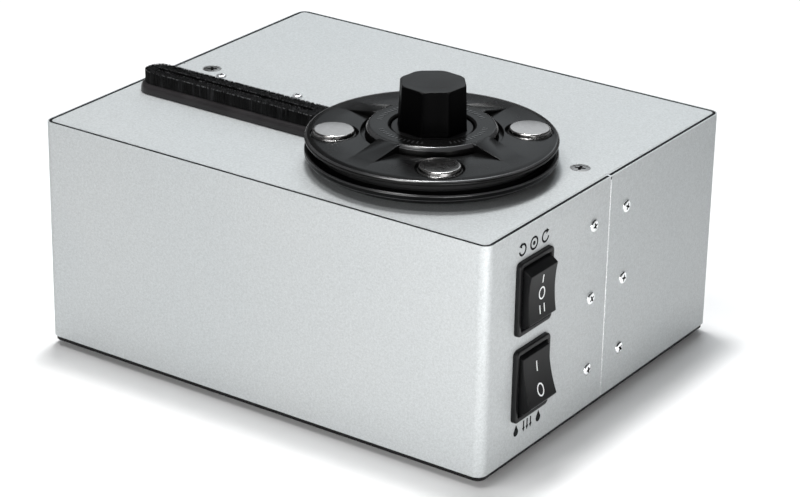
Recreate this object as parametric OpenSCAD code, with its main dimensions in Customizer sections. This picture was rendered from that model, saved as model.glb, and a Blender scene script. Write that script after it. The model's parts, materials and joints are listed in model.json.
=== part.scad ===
// Record cleaning machine: a flat-topped case with a motor driven label platter,
// a screw-down label clamp and a radial suction bar that dries the record from below.
// X to the right, Y to the rear, Z up. The origin is on the table, under the middle of the whole
// machine with its rockers and drain tap, so the case itself lies a little to the left and front.

/* [Case] */
// Width of the case walls, left to right
case_w = 225; // [224:0.5:235]
// Depth of the case walls, front to rear
case_d = 185; // [185:0.5:195]
// Height of the silver walls
case_h = 100; // [100:0.5:110]
// Outside radius of the folded corners
corner_r = 4.5; // [3.5:0.5:6]
// Thickness of the sandwich wall
wall_t = 2.6; // [2.4:0.1:3]
// Thickness of each aluminium skin of the wall
skin_t = 0.35; // [0.3:0.05:0.5]
// Thickness of the base plate
base_t = 2; // [1.5:0.5:2]
// Height of the rubber feet under the base plate
foot_h = 3; // [2:0.5:5]
// Width of the bright seam between the front and rear wraps
seam_w = 0.9; // [0.6:0.1:1.2]

/* [Spindle and clamp] */
// Spindle axis, measured from the middle of the case, to the right
spindle_x = 46; // [45:0.5:48]
// Spindle axis, measured from the middle of the case, to the rear (negative is to the front)
spindle_y = -33; // [-35:0.5:-33]
// Radius of the spindle that a record's centre hole fits
spindle_r = 3.55; // [3.5:0.01:3.6]
// Radius of the platter and of the clamp disc
disc_r = 52.3; // [50:0.1:53]
// Height of the platter's top over the top plate
record_z = 7.8; // [7.4:0.1:8.2]
// Height of the clamp disc's underside over the top plate
clamp_z = 11; // [10.8:0.1:11.4]
// Turn of the clamp about the spindle, degrees
clamp_turn = 38.5; // [0:0.5:90]
// Height of the knob's grip
grip_h = 19.5; // [16:0.5:21]
// Width of the knob's grip across its flats, at the bottom
grip_w = 28.3; // [26:0.1:29]

/* [Suction bar] */
// Radius from the spindle to the outer end of the bar
bar_outer = 151.5; // [149:0.5:153]
// Gap between the platter and the concave inner end of the bar
bar_gap = 1.2; // [1:0.1:3]
// Width of the bar's foot
bar_w = 17; // [16:0.5:18]
// Width of the bristle ring
bristle_w = 13; // [11:0.5:14]
// Height of the bar's top over the top plate
bar_h = 10; // [9.5:0.1:10.2]

/* [Switches] */
// Middle of both switches, from the middle of the case to the rear (negative is to the front)
switch_y = -58.8; // [-60:0.1:-57]
// Height of the motor switch over the table
motor_switch_z = 75.2; // [74:0.1:78]
// Height of the vacuum switch over the table
vacuum_switch_z = 37; // [34:0.1:38]
// Tilt of a pressed rocker, degrees
rocker_tilt = 12; // [8:1:12]

/* [Hidden] */
$fn = 64;
e = 0.01;
zb = foot_h;                 // underside of the base plate
z0 = foot_h + base_t;        // bottom of the walls
zt = z0 + case_h;            // top face of the top plate and of the walls
hw = case_w/2;
hd = case_d/2;
silver = [0.79, 0.81, 0.81];
black = [0.07, 0.07, 0.075];
steel = [0.72, 0.73, 0.74];
bar_x0 = spindle_x - bar_outer;
bar_x1 = spindle_x - disc_r - bar_gap;
side_rows = [z0 + 17.5, z0 + 50, z0 + 82.5];
bx = 48;  // vacuum motor axis
by = 38;
tap_x = -4;
case_pos = [-4.3, -14, 0];   // middle of the case
inlet_x = -80;
inlet_z = 38;

// ---- shared shapes -------------------------------------------------------
module rrect(w, d, r) {
    square([w - 2*r, d], center = true);
    square([w, d - 2*r], center = true);
    for (x = [-1, 1], y = [-1, 1]) translate([x*(w/2 - r), y*(d/2 - r)]) circle(r);
}
module slot2(l, w) {   // outline with half round ends, l over all
    square([l - w, w], center = true);
    for (x = [-1, 1]) translate([x*(l - w)/2, 0]) circle(w/2);
}
module wall_layer(a, b, z, h) {   // ring between insets a and b
    translate([0, 0, z]) linear_extrude(h) difference() {
        rrect(case_w - 2*a, case_d - 2*a, corner_r - a);
        rrect(case_w - 2*b, case_d - 2*b, max(corner_r - b, 0.4));
    }
}
module front_half() translate([-200, -200, 0]) cube([400, 200 - seam_w/2, 300]);
module rear_half() translate([-200, seam_w/2, 0]) cube([400, 200, 300]);
module side_holes(r) for (z = side_rows, y = [-13, 13]) translate([-hw - 5, y, z]) rotate([0, 90, 0]) cylinder(h = case_w + 10, r = r);
module switch_cutouts() for (z = [motor_switch_z, vacuum_switch_z]) translate([hw - 6, switch_y - 11.2, z - 15.2]) cube([12, 22.4, 30.4]);
module rear_cutouts() {
    translate([inlet_x - 14.2, hd - 6, inlet_z - 15.2]) cube([28.4, 12, 30.4]);
    translate([inlet_x, hd + 5, inlet_z]) for (x = [-20, 20]) translate([x, 0, 0]) rotate([90, 0, 0]) cylinder(h = 12, r = 1.7);
    translate([tap_x, hd + 5, 17]) rotate([90, 0, 0]) cylinder(h = 12, r = 6.6);
    translate([bx - 30, hd - 6, 30]) cube([60, 12, 50]);
}
module screw(head_r, head_h, shank_r, l) {   // head up, seat at z 0, shank down
    difference() {
        union() {
            translate([0, 0, -head_h]) cylinder(h = head_h, r1 = shank_r, r2 = head_r);
            translate([0, 0, -l]) cylinder(h = l - head_h + e, r = shank_r);
        }
        for (a = [0, 90]) rotate(a) translate([-head_r*0.55, -head_r*0.11, -head_h*0.6]) cube([head_r*1.1, head_r*0.22, head_h]);
    }
}
module pan_screw(head_r, head_h, shank_r, l) {   // domed head standing on z 0
    difference() {
        union() {
            rotate_extrude() polygon([[0, 0], [head_r, 0], [head_r, head_h*0.35], [head_r*0.93, head_h*0.65], [head_r*0.72, head_h*0.92], [head_r*0.4, head_h], [0, head_h]]);
            translate([0, 0, -l]) cylinder(h = l + e, r = shank_r);
        }
        for (a = [0, 90]) rotate(a) translate([-head_r*0.6, -head_r*0.13, head_h*0.35]) cube([head_r*1.2, head_r*0.26, head_h]);
    }
}

// ---- case ------------------------------------------------------------------
foot_xy = [for (x = [-1, 1], y = [-1, 1]) [x*(hw - 20), y*(hd - 20)]];
module base_plate() color(black) difference() {
    translate([0, 0, zb]) linear_extrude(base_t) rrect(case_w - 1.6, case_d - 1.6, corner_r - 0.8);
    for (p = foot_xy) translate([p[0], p[1], zb - 1]) cylinder(h = base_t + 2, r = 1.75);
    for (x = [-1, 1]) translate([x*(hw - 15), 0, zb - 1]) cylinder(h = base_t + 2, r = 1.75);
    for (i = [-4:4]) translate([bx + i*7, by - 16, zb - 1]) linear_extrude(base_t + 2) rotate(90) slot2(24, 3);
}
module feet() color([0.06, 0.06, 0.06]) for (p = foot_xy) translate([p[0], p[1], 0]) difference() {
    cylinder(h = foot_h, r1 = 7.5, r2 = 8.5);
    translate([0, 0, -1]) cylinder(h = foot_h - 0.6, r = 4.6);
    cylinder(h = foot_h + 1, r = 1.75);
}
module wrap_cut() { side_holes(1.55); switch_cutouts(); rear_cutouts(); }
module skins() {
    wall_layer(0, skin_t, z0, case_h);
    wall_layer(wall_t - skin_t, wall_t, z0, case_h);
}
module front_wrap_skins() color(silver) difference() { intersection() { skins(); front_half(); } wrap_cut(); }
module front_wrap_core() color(black) difference() { intersection() { wall_layer(skin_t, wall_t - skin_t, z0, case_h); front_half(); } wrap_cut(); }
module rear_wrap_skins() color(silver) difference() { intersection() { skins(); rear_half(); } wrap_cut(); }
module rear_wrap_core() color(black) difference() { intersection() { wall_layer(skin_t, wall_t - skin_t, z0, case_h); rear_half(); } wrap_cut(); }
// side bracket behind the seam: a strip with a web that fills the seam, and a tab at each end
module joint_bracket(top) color(steel) difference() {
    union() {
        translate([hw - wall_t - 2, -20, z0]) cube([2, 40, case_h - wall_t]);
        translate([hw - wall_t - e, -seam_w/2, z0]) cube([wall_t - 0.15 + e, seam_w, case_h]);
        translate([hw - 21, -8, zt - wall_t - 2]) cube([21 - wall_t - 1, 16, 2]);
        translate([hw - 21, -8, z0]) cube([21 - wall_t - 1, 16, 2]);
    }
    for (z = side_rows, y = [-13, 13]) translate([hw - 8, y, z]) rotate([0, 90, 0]) cylinder(h = 10, r = 1.25);
    translate([top[0], top[1], zt - 10]) cylinder(h = 20, r = 1.6);
    translate([hw - 15, 0, z0 - 2]) cylinder(h = 10, r = 1.6);
}
top_xy = [[hw - 15, 0], [-(hw - 16.5), 2]];   // the two countersunk screws of the top plate
module right_joint_bracket() joint_bracket(top_xy[0]);
module left_joint_bracket() mirror([1, 0, 0]) joint_bracket([-top_xy[1][0], top_xy[1][1]]);
module side_screws() color(steel) for (z = side_rows, y = [-13, 13]) translate([hw, y, z]) rotate([0, 90, 0]) pan_screw(2.8, 1.1, 1.24, 5.5);
module right_side_screws() side_screws();
module left_side_screws() mirror([1, 0, 0]) side_screws();
hanger_xy = [[-86, -4], [-44, -4]];
module top_plate() color(silver) difference() {
    translate([0, 0, zt - wall_t]) linear_extrude(wall_t) rrect(case_w - 2*wall_t - 0.1, case_d - 2*wall_t - 0.1, max(corner_r - wall_t, 0.5));
    translate([spindle_x, spindle_y, zt - 10]) cylinder(h = 20, r = 9.3);
    for (p = top_xy) translate([p[0], p[1], zt + e]) { translate([0, 0, -2.3]) cylinder(h = 2.31, r1 = 2.05, r2 = 4.15); translate([0, 0, -10]) cylinder(h = 10, r = 2.1); }
    for (x = [-1, 1]) translate([x*(hw - wall_t), 0, zt - 5]) cube([0.6, seam_w + 0.2, 20], center = true);
    for (p = hanger_xy) translate([p[0], p[1], zt - 10]) cylinder(h = 20, r = 1.6);
    for (p = drive_xy) translate([spindle_x + p[0], spindle_y + p[1], zt - 10]) cylinder(h = 20, r = 1.6);
    translate([(bar_x0 + bar_x1)/2, spindle_y, zt - 5]) linear_extrude(10) slot2(bar_l - 22, 6);
    for (x = [bar_x0 + 7.2, bar_x1 - 7.2]) translate([x, spindle_y, zt - 10]) cylinder(h = 20, r = 1.6);
}
module top_screws() color(steel) for (p = top_xy) translate([p[0], p[1], zt - 0.05]) screw(4, 2.2, 1.55, 8);
module base_screws() color(steel) {
    for (x = [-1, 1]) translate([x*(hw - 15), 0, zb]) rotate([180, 0, 0]) pan_screw(3.2, 1.4, 1.55, 5);
    for (p = foot_xy) translate([p[0], p[1], zb - 1.6]) rotate([180, 0, 0]) pan_screw(3.2, 1.2, 1.55, 3.5);
}

// ---- turntable drive ---------------------------------------------------------
drive_xy = concat([for (a = [45:90:315]) [14*cos(a), 14*sin(a)]], [for (x = [-37, 31], y = [-14, 14]) [x, y]]);
module on_axis() translate([spindle_x, spindle_y, 0]) children();
module bearing_housing() color([0.55, 0.56, 0.57]) on_axis() difference() {
    union() {
        translate([0, 0, zt - wall_t - 4]) cylinder(h = 4, r = 18);
        translate([0, 0, zt - 22]) cylinder(h = 22.8, r = 9);
    }
    translate([0, 0, zt - 30]) cylinder(h = 40, r = 6);
    for (a = [45:90:315]) rotate(a) translate([14, 0, zt - 10]) cylinder(h = 10, r = 1.24);
}
module drive_screws() color(black) on_axis() for (p = drive_xy) translate([p[0], p[1], zt]) pan_screw(2.6, 0.8, 1.24, 5);
module spindle_bush() color([0.72, 0.55, 0.3]) on_axis() difference() {
    translate([0, 0, zt - 22]) cylinder(h = 22.6, r = 6);
    translate([0, 0, zt - 30]) cylinder(h = 40, r = spindle_r + 0.04);
}
module spindle() color(steel) on_axis() difference() {
    union() {
        translate([0, 0, 70]) cylinder(h = zt + 27 - 70, r = spindle_r);
        translate([0, 0, zt + 27 - e]) cylinder(h = 1.5, r1 = spindle_r, r2 = spindle_r - 1.3);
        translate([0, 0, zt + 1.1]) cylinder(h = 2.4, r = 10);
    }
    for (a = [30:120:270]) rotate(a) translate([7, 0, zt]) cylinder(h = 5, r = 1.24);
}
module shaft_coupling() color([0.6, 0.61, 0.62]) on_axis() difference() {
    translate([0, 0, 62]) cylinder(h = 18, r = 8);
    translate([0, 0, 70]) cylinder(h = 11, r = spindle_r);
    translate([0, 0, 61]) cylinder(h = 9 + e, r = 3);
    for (z = [66, 75]) translate([0, 0, z]) rotate([0, 90, 0]) cylinder(h = 9, r = 1.5);
}
module motor_gearbox() color([0.66, 0.67, 0.68]) on_axis() difference() {
    union() {
        translate([-7, 0, 34]) cylinder(h = 21, r = 18.5);
        translate([0, 0, 55 - e]) cylinder(h = 3, r = 6);
    }
    translate([0, 0, 40]) cylinder(h = 20, r = 3.04);
    for (a = [60:60:300]) translate([-7, 0, 0]) rotate(a) translate([15.5, 0, 45]) cylinder(h = 11, r = 1.24);
}
module drive_motor() color([0.3, 0.31, 0.33]) on_axis() translate([-7, 0, 0]) difference() {
    union() {
        translate([0, 0, 11]) cylinder(h = 23, r = 17);
        translate([0, 0, 9]) cylinder(h = 2 + e, r = 6);
    }
    translate([0, 0, 8]) cylinder(h = 2, r = 1);
    for (s = [-1, 1]) translate([10*s, 0, 10]) cylinder(h = 3, r = 1.5);
}
module output_shaft() color(steel) on_axis() translate([0, 0, 42]) cylinder(h = 28, r = 3);
module motor_bracket() color(steel) on_axis() difference() {
    union() {
        translate([-34, -19, 55]) cube([62, 38, 2]);
        for (x = [-34, 26]) translate([x, -19, 55]) cube([2, 38, zt - wall_t - 55]);
        for (x = [-42, 26]) translate([x, -19, zt - wall_t - 2]) cube([10, 38, 2]);
    }
    translate([0, 0, 50]) cylinder(h = 20, r = 6.5);
    for (p = drive_xy) translate([p[0], p[1], zt - 10]) cylinder(h = 20, r = 1.24);
    for (a = [60:60:300]) translate([-7, 0, 0]) rotate(a) translate([15.5, 0, 50]) cylinder(h = 20, r = 1.6);
}
module motor_screws() color(steel) on_axis() translate([-7, 0, 0]) for (a = [60:60:300]) rotate(a) translate([15.5, 0, 57]) pan_screw(2.6, 1.8, 1.24, 9);

// ---- platter and clamp --------------------------------------------------------
zp = zt + record_z;          // record plane
zc = zt + clamp_z;           // underside of the clamp disc
module platter() color(black) on_axis() difference() {
    rotate_extrude($fn = 128) polygon([[spindle_r, zt + 1.5], [40, zt + 1.5], [45, zt + 2.2], [47.5, zt + 4], [disc_r - 0.9, zt + 4.2], [disc_r, zt + 4.9],
        [disc_r, zp - 1.1], [disc_r - 0.7, zp - 0.4], [49.2, zp - 0.2], [48.2, zp - 0.7], [spindle_r, zp - 0.7]]);
    translate([0, 0, zt + 1]) cylinder(h = 2.5, r = 10.1);
    for (a = [30:120:270]) rotate(a) translate([7, 0, zt + 1]) cylinder(h = 15, r = 1.6);
    for (a = [30:120:270]) rotate(a) translate([7, 0, zp - 2.6]) cylinder(h = 5, r = 3);
}
module platter_screws() color(steel) on_axis() for (a = [30:120:270]) rotate(a) translate([7, 0, zp - 2.6]) pan_screw(2.6, 1.7, 1.24, 3.6);
module platter_mat() color([0.05, 0.05, 0.055]) on_axis() translate([0, 0, zp - 0.7]) difference() { cylinder(h = 0.7, r = 47.8); translate([0, 0, -1]) cylinder(h = 3, r = 12); }
module clamp_frame() on_axis() rotate(clamp_turn) children();
weight_r = 40.2;               // pitch radius of the round weights
module clamp_disc() color(black) clamp_frame() difference() {
    union() {
        rotate_extrude($fn = 128) polygon([[6.5, zc], [disc_r - 0.5, zc], [disc_r, zc + 0.5], [disc_r, zc + 1.4], [disc_r - 0.8, zc + 2], [disc_r - 3, zc + 2.5], [40, zc + 3.1],
            [29.4, zc + 3.3], [29.2, zc + 1.2], [27.4, zc + 1.2], [27, zc + 5.9], [26.4, zc + 6.4], [18.1, zc + 6.4], [17.5, zc + 5.9], [17.5, zc + 3], [6.5, zc + 3]]);
        for (a = [45:90:315]) rotate(a) translate([25, 5.4, 0]) rotate([90, 0, 0]) linear_extrude(10.8) polygon([[0, zc + 0.8], [18.6, zc + 1.7], [18.6, zc + 2.65], [2.4, zc + 6.15], [0, zc + 6.25]]);
    }
    for (a = [0:90:270]) rotate(a) translate([weight_r, 0, zc + 1.6]) cylinder(h = 5, r = 9.9);
}
module clamp_weights() color([0.8, 0.8, 0.8]) clamp_frame() for (a = [0:90:270]) rotate(a) translate([weight_r, 0, zc + 1.6])
    rotate_extrude() polygon([[0, 0], [9.3, 0], [9.3, 0.7], [8.9, 1.1], [8.6, 1.3], [8.6, 2.3], [8.4, 2.7], [8, 2.9], [0, 2.9]]);
module clamp_pad() color([0.05, 0.05, 0.05]) on_axis() translate([0, 0, zp + 0.05]) difference() { cylinder(h = clamp_z - record_z - 0.05, r = 47.5); translate([0, 0, -1]) cylinder(h = 5, r = 38); }
module clamp_knob() color([0.05, 0.05, 0.055]) clamp_frame() difference() {
    union() {
        translate([0, 0, zc + 3.05]) cylinder(h = 2.25, r = 16.9);
        difference() {
            intersection() {
                translate([0, 0, zc + 5.3 - e]) rotate(22.5) cylinder(h = grip_h, r1 = grip_w/2/cos(22.5), r2 = (grip_w - 1.4)/2/cos(22.5), $fn = 8);
                translate([0, 0, zc + 5.3 - 1]) cylinder(h = grip_h + 1, r1 = grip_w/2 + 0.75, r2 = grip_w/2 + 0.05);
            }
            for (a = [0:45:315]) rotate(a) translate([grip_w/2 + 36 - 0.6, 0, zc + 5.2]) rotate([0, -2.05, 0]) cylinder(h = grip_h + 2, r = 36, $fn = 180);
        }
    }
    translate([0, 0, zc]) cylinder(h = 22, r = 5.5);
}
module knob_insert() color([0.75, 0.6, 0.3]) clamp_frame() difference() {
    translate([0, 0, zc + 1]) cylinder(h = 21, r = 5.5);
    translate([0, 0, zc]) cylinder(h = 19, r = spindle_r + 0.05);
}

// ---- suction ------------------------------------------------------------------
bar_l = bar_x1 - bar_x0;
zr = zt + bar_h - 5.6;       // where the bristles start
bar_mid = (bar_x0 + bar_x1)/2;
module bar_frame() translate([bar_mid, spindle_y, 0]) children();
module bar_outline(w, inset) difference() {   // round outer end, inner end hollowed round the platter
    union() {
        translate([bar_x0 + inset + w/2, spindle_y]) circle(w/2);
        translate([bar_x0 + inset + w/2, spindle_y - w/2]) square([bar_l + 4 - inset - w/2, w]);
    }
    translate([spindle_x, spindle_y]) circle(disc_r + bar_gap + inset, $fn = 180);
}
module suction_bar() color(black) difference() {
    union() {
        translate([0, 0, zt]) linear_extrude(0.7) bar_outline(bar_w - 1, 0.5);
        translate([0, 0, zt + 0.7 - e]) linear_extrude(2.7) bar_outline(bar_w, 0);
        translate([0, 0, zt + 3.4 - 2*e]) linear_extrude(zr - zt - 3.4 + 2*e) bar_outline(bar_w - 1.6, 0.8);
    }
    bar_frame() translate([0, 0, zt - 1]) linear_extrude(10) slot2(bar_l - 18, 2.2);
    bar_frame() for (s = [-1, 1]) translate([s*(bar_l/2 - 7.2), 0, zt - 1]) cylinder(h = 4.4, r = 1.24);
}
module bristle_ring() color([0.03, 0.03, 0.03]) translate([0, 0, zr]) linear_extrude(5.6) difference() { bar_outline(bristle_w, 2.1); translate([bar_mid, spindle_y]) slot2(bar_l - 14, 2.2); }
module bar_screws() color(steel) bar_frame() for (s = [-1, 1]) translate([s*(bar_l/2 - 7.2), 0, zt - wall_t - 2.5]) rotate([180, 0, 0]) pan_screw(2.7, 1.6, 1.24, 7.5);
module suction_plenum() color([0.2, 0.2, 0.21]) bar_frame() difference() {
    union() {
        translate([0, 0, zt - wall_t - 2.5]) linear_extrude(2.5) slot2(bar_l, 20);
        translate([0, 0, zt - wall_t - 9]) linear_extrude(7) slot2(bar_l - 22, 14);
        translate([-10, 0, 80.5]) cylinder(h = 16, r = 7);
    }
    translate([0, 0, zt - wall_t - 7.5]) linear_extrude(10) slot2(bar_l - 25, 11);
    translate([-10, 0, 70]) cylinder(h = 27, r = 5.5);
    for (s = [-1, 1]) translate([s*(bar_l/2 - 7.2), 0, 90]) cylinder(h = 20, r = 1.6);
}
tank_x = [-106, 4]; tank_y = [-86, -10]; tank_z = [5, 72];
plen_x = bar_mid - 10;
module tank() color([0.82, 0.84, 0.84]) difference() {
    union() {
        translate([tank_x[0], tank_y[0], tank_z[0]]) cube([tank_x[1] - tank_x[0], tank_y[1] - tank_y[0], tank_z[1] - tank_z[0] - 1]);
        translate([tap_x, tank_y[1] - 2, 17]) rotate([-90, 0, 0]) cylinder(h = 12, r = 4);
    }
    translate([tank_x[0] + 2, tank_y[0] + 2, tank_z[0] + 2]) cube([tank_x[1] - tank_x[0] - 4, tank_y[1] - tank_y[0] - 4, 80]);
    translate([tap_x, tank_y[1] - 5, 17]) rotate([-90, 0, 0]) cylinder(h = 20, r = 2.6);
}
module tank_lid() color([0.25, 0.25, 0.26]) difference() {
    union() {
        translate([tank_x[0], tank_y[0], tank_z[1]]) cube([tank_x[1] - tank_x[0], tank_y[1] - tank_y[0], 2.5]);
        translate([plen_x, spindle_y, tank_z[1]]) cylinder(h = 8.3, r = 7);
        translate([-8, -19, tank_z[1]]) cylinder(h = 8.3, r = 7);
    }
    translate([plen_x, spindle_y, tank_z[1] - 1]) cylinder(h = 20, r = 5.5);
    translate([-8, -19, tank_z[1] - 1]) cylinder(h = 20, r = 5.5);
}
module tank_lid_seal() color([0.1, 0.1, 0.1]) translate([0, 0, tank_z[1] - 1]) difference() {
    translate([tank_x[0], tank_y[0], 0]) cube([tank_x[1] - tank_x[0], tank_y[1] - tank_y[0], 1]);
    translate([tank_x[0] + 2, tank_y[0] + 2, -1]) cube([tank_x[1] - tank_x[0] - 4, tank_y[1] - tank_y[0] - 4, 5]);
}
module tank_hanger() color(steel) difference() {
    union() {
        translate([-90, -10, zt - wall_t - 2]) cube([66, 11, 2]);
        translate([-90, -10, 40]) cube([66, 2, zt - wall_t - 40]);
    }
    for (p = hanger_xy) translate([p[0], p[1], zt - 10]) cylinder(h = 10, r = 1.25);
}
module hanger_screws() color(steel) for (p = hanger_xy) translate([p[0], p[1], zt]) pan_screw(3, 1.5, 1.24, 6.5);
module suction_hose() color([0.13, 0.13, 0.14]) translate([plen_x, spindle_y, 75]) difference() { cylinder(h = 15, r = 9); translate([0, 0, -1]) cylinder(h = 20, r = 7); }
hose_ang = atan2(by + 19, bx + 8);
hose_len = norm([bx + 8, by + 19]);
module hose_path(r, ext) translate([-8, -19, 0]) rotate(hose_ang) {
    translate([0, 0, 75 - ext]) cylinder(h = 5.5 + ext, r = r);
    translate([10, 0, 80.5]) rotate(180) rotate([90, 0, 0]) rotate_extrude(angle = 90) translate([10, 0]) circle(r);
    translate([10, 0, 90.5]) rotate([0, 90, 0]) cylinder(h = hose_len - 20, r = r);
    translate([hose_len - 10, 0, 80.5]) rotate([90, 0, 0]) rotate_extrude(angle = 90) translate([10, 0]) circle(r);
    translate([hose_len, 0, 75 - ext]) cylinder(h = 5.5 + ext, r = r);
}
module vacuum_hose() color([0.13, 0.13, 0.14]) difference() { hose_path(8.5, 0); hose_path(7, 1); }
module blower_can() color([0.62, 0.63, 0.64]) translate([bx, by, 0]) difference() {
    union() { translate([0, 0, 12]) cylinder(h = 34, r = 34); translate([0, 0, 46 - e]) cylinder(h = 6, r = 44); }
    translate([0, 0, 14]) cylinder(h = 50, r = 32);
    translate([0, 0, 10]) cylinder(h = 10, r = 4.04);
    for (a = [0:45:315]) rotate(a) translate([26, 0, 10]) cylinder(h = 10, r = 3);
}
module blower_shroud() color([0.75, 0.76, 0.77]) translate([bx, by, 0]) difference() {
    union() { translate([0, 0, 52 - e]) cylinder(h = 22 + e, r = 44); translate([0, 0, 74 - e]) cylinder(h = 6.3, r = 7); }
    translate([0, 0, 51]) cylinder(h = 21, r = 42.5);
    translate([0, 0, 70]) cylinder(h = 20, r = 5.5);
    for (a = [60, 90, 120]) rotate(a) translate([36, -5, 58]) cube([12, 10, 10]);
}
module blower_mount() color([0.08, 0.08, 0.08]) translate([bx, by, 0]) difference() {
    union() { translate([0, 0, z0]) cylinder(h = 7, r = 38); translate([0, 0, 12 - e]) cylinder(h = 6, r = 36.5); }
    translate([0, 0, z0 - 1]) cylinder(h = 10, r = 30);
    translate([0, 0, 12]) cylinder(h = 10, r = 34);
}
module blower_shaft() color(steel) translate([bx, by, 0]) {
    translate([0, 0, 12.5]) cylinder(h = 55, r = 4);
    translate([0, 0, 20]) cylinder(h = 20, r = 22);
}
module impeller() color([0.7, 0.71, 0.72]) translate([bx, by, 0]) difference() {
    union() {
        translate([0, 0, 55]) cylinder(h = 1.5, r = 40);
        translate([0, 0, 68]) cylinder(h = 1.5, r = 40);
        translate([0, 0, 55]) cylinder(h = 12, r = 7);
        for (a = [0:40:320]) rotate(a) translate([14, 0, 56]) rotate(38) translate([0, -0.6, 0]) cube([27, 1.2, 12.2]);
    }
    translate([0, 0, 50]) cylinder(h = 30, r = 4);
    translate([0, 0, 67.5]) cylinder(h = 5, r = 12);
}

// ---- switches -------------------------------------------------------------------
bez_t = 2;
piv = hw + bez_t - 5.5;      // rocker pivot
rock_r = 13.9;
module switch_housing(z) color([0.06, 0.06, 0.065]) translate([0, switch_y, z]) difference() {
    union() {
        translate([hw, 0, 0]) rotate([90, 0, 90]) linear_extrude(bez_t - 0.4) rrect(25.5, 32, 2);
        translate([hw + bez_t - 0.4 - e, 0, 0]) rotate([90, 0, 90]) linear_extrude(0.4 + e) rrect(24.9, 31.4, 1.8);
        translate([hw - 18, -11, -15]) cube([18 + e, 22, 30]);
    }
    translate([hw - 2, -10.3, -13.6]) cube([10, 20.6, 27.2]);
    translate([hw - 16.5, -10.3, -14.1]) cube([16.5 - 0, 20.6, 28.2]);
    translate([piv, -10.8, 0]) rotate([-90, 0, 0]) cylinder(h = 21.6, r = 1.45);
}
module rocker(z, tilt) color([0.05, 0.05, 0.055]) translate([piv, switch_y, z]) rotate([0, tilt, 0]) {
    difference() {
        rotate([90, 0, 0]) translate([0, 0, -10]) cylinder(h = 20, r = rock_r, $fn = 128);
        translate([-20, -15, -20]) cube([22.7, 30, 40]);
        translate([8 + 57.5, 15, 0]) rotate([90, 0, 0]) cylinder(h = 30, r = 57.5, $fn = 256);
    }
    translate([-3, -10, -4]) cube([6, 20, 8]);
    translate([0, -10.7, 0]) rotate([-90, 0, 0]) cylinder(h = 21.4, r = 1.4);
}
module motor_switch_housing() switch_housing(motor_switch_z);
module vacuum_switch_housing() switch_housing(vacuum_switch_z);
module motor_switch_rocker() rocker(motor_switch_z, 0);
module vacuum_switch_rocker() rocker(vacuum_switch_z, -rocker_tilt);
module switch_terminals() color([0.8, 0.65, 0.35]) for (z = [motor_switch_z, vacuum_switch_z], y = [-6, 6], dz = [-9, 0, 9]) translate([hw - 27, switch_y + y - 0.4, z + dz - 2.4]) cube([9, 0.8, 4.8]);

// ---- rear panel ------------------------------------------------------------------
pin_pos = [[-7, 1], [7, 1], [0, 5.5]];
module mains_inlet() color([0.06, 0.06, 0.065]) translate([inlet_x, 0, inlet_z]) difference() {
    union() {
        translate([0, hd + 2.5, 0]) rotate([90, 0, 0]) linear_extrude(2.5) rrect(48, 34, 3);
        translate([-14, hd - 22, -15]) cube([28, 22 + e, 30]);
    }
    translate([-12, hd - 14, -5]) cube([24, 20, 16.5]);
    translate([-12.2, hd - 18, -13.2]) cube([24.4, 30, 6.4]);
    for (p = pin_pos) translate([p[0] - 1, hd - 30, p[1] - 2]) cube([2, 24, 4]);
    for (x = [-20, 20]) translate([x, hd + 5, 0]) rotate([90, 0, 0]) cylinder(h = 12, r = 1.6);
}
module inlet_pins() color([0.75, 0.75, 0.76]) translate([inlet_x, 0, inlet_z]) {
    for (p = pin_pos) translate([p[0] - 1, hd - 27, p[1] - 2]) cube([2, 24, 4]);
    for (x = [-20, 20]) translate([x, hd + 2.5, 0]) rotate([-90, 0, 0]) pan_screw(2.8, 1.4, 1.5, 8);
}
module fuse_drawer() color([0.1, 0.1, 0.1]) translate([inlet_x, 0, inlet_z]) {
    translate([-12, hd - 15, -13]) cube([24, 17.8, 6]);
    translate([-5, hd + 2.8 - e, -13]) cube([10, 1.4, 2]);
}
module exhaust_grille() color([0.07, 0.07, 0.075]) translate([bx, 0, 55]) difference() {
    union() {
        translate([0, hd + 1.6, 0]) rotate([90, 0, 0]) linear_extrude(1.6) rrect(68, 58, 3);
        translate([-29.8, hd - 4, -24.8]) cube([59.6, 4 + e, 49.6]);
    }
    for (i = [-5:5]) translate([-26, hd - 6, i*4.4 - 1.1]) cube([52, 12, 2.2]);
}
module drain_hose() color([0.2, 0.2, 0.21]) translate([tap_x, tank_y[1] + 1, 17]) rotate([-90, 0, 0]) difference() { cylinder(h = hd - 6 - tank_y[1] - 1 - 1, r = 5.5); translate([0, 0, -1]) cylinder(h = 200, r = 4); }
module drain_tap() color([0.1, 0.1, 0.105]) translate([tap_x, 0, 17]) difference() {
    union() {
        translate([0, hd - 16, 0]) rotate([-90, 0, 0]) cylinder(h = 16, r = 4);
        translate([0, hd - 6.9, 0]) rotate([-90, 0, 0]) cylinder(h = 6.9, r = 6.4);
        translate([0, hd, 0]) rotate([-90, 0, 0]) cylinder(h = 2.2, r = 10);
        translate([0, hd + 2, 0]) rotate([-90, 0, 0]) cylinder(h = 12, r = 6.5);
        translate([0, hd + 8, 0]) cylinder(h = 8.5, r = 4.5);
        translate([0, hd + 14 - e, 0]) rotate([-90, 0, 0]) cylinder(h = 14, r = 4);
    }
    translate([0, hd - 20, 0]) rotate([-90, 0, 0]) cylinder(h = 60, r = 2.6);
    translate([0, hd + 8, 2]) cylinder(h = 20, r = 2.55);
}
module drain_lever() color([0.45, 0.05, 0.05]) translate([tap_x, hd + 8, 17]) {
    translate([0, 0, 3]) cylinder(h = 14.5, r = 2.5);
    translate([0, 0, 16.6]) linear_extrude(2.4) union() { circle(4); translate([0, -2.4]) square([15, 4.8]); translate([15, 0]) circle(2.4); }
}
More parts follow.
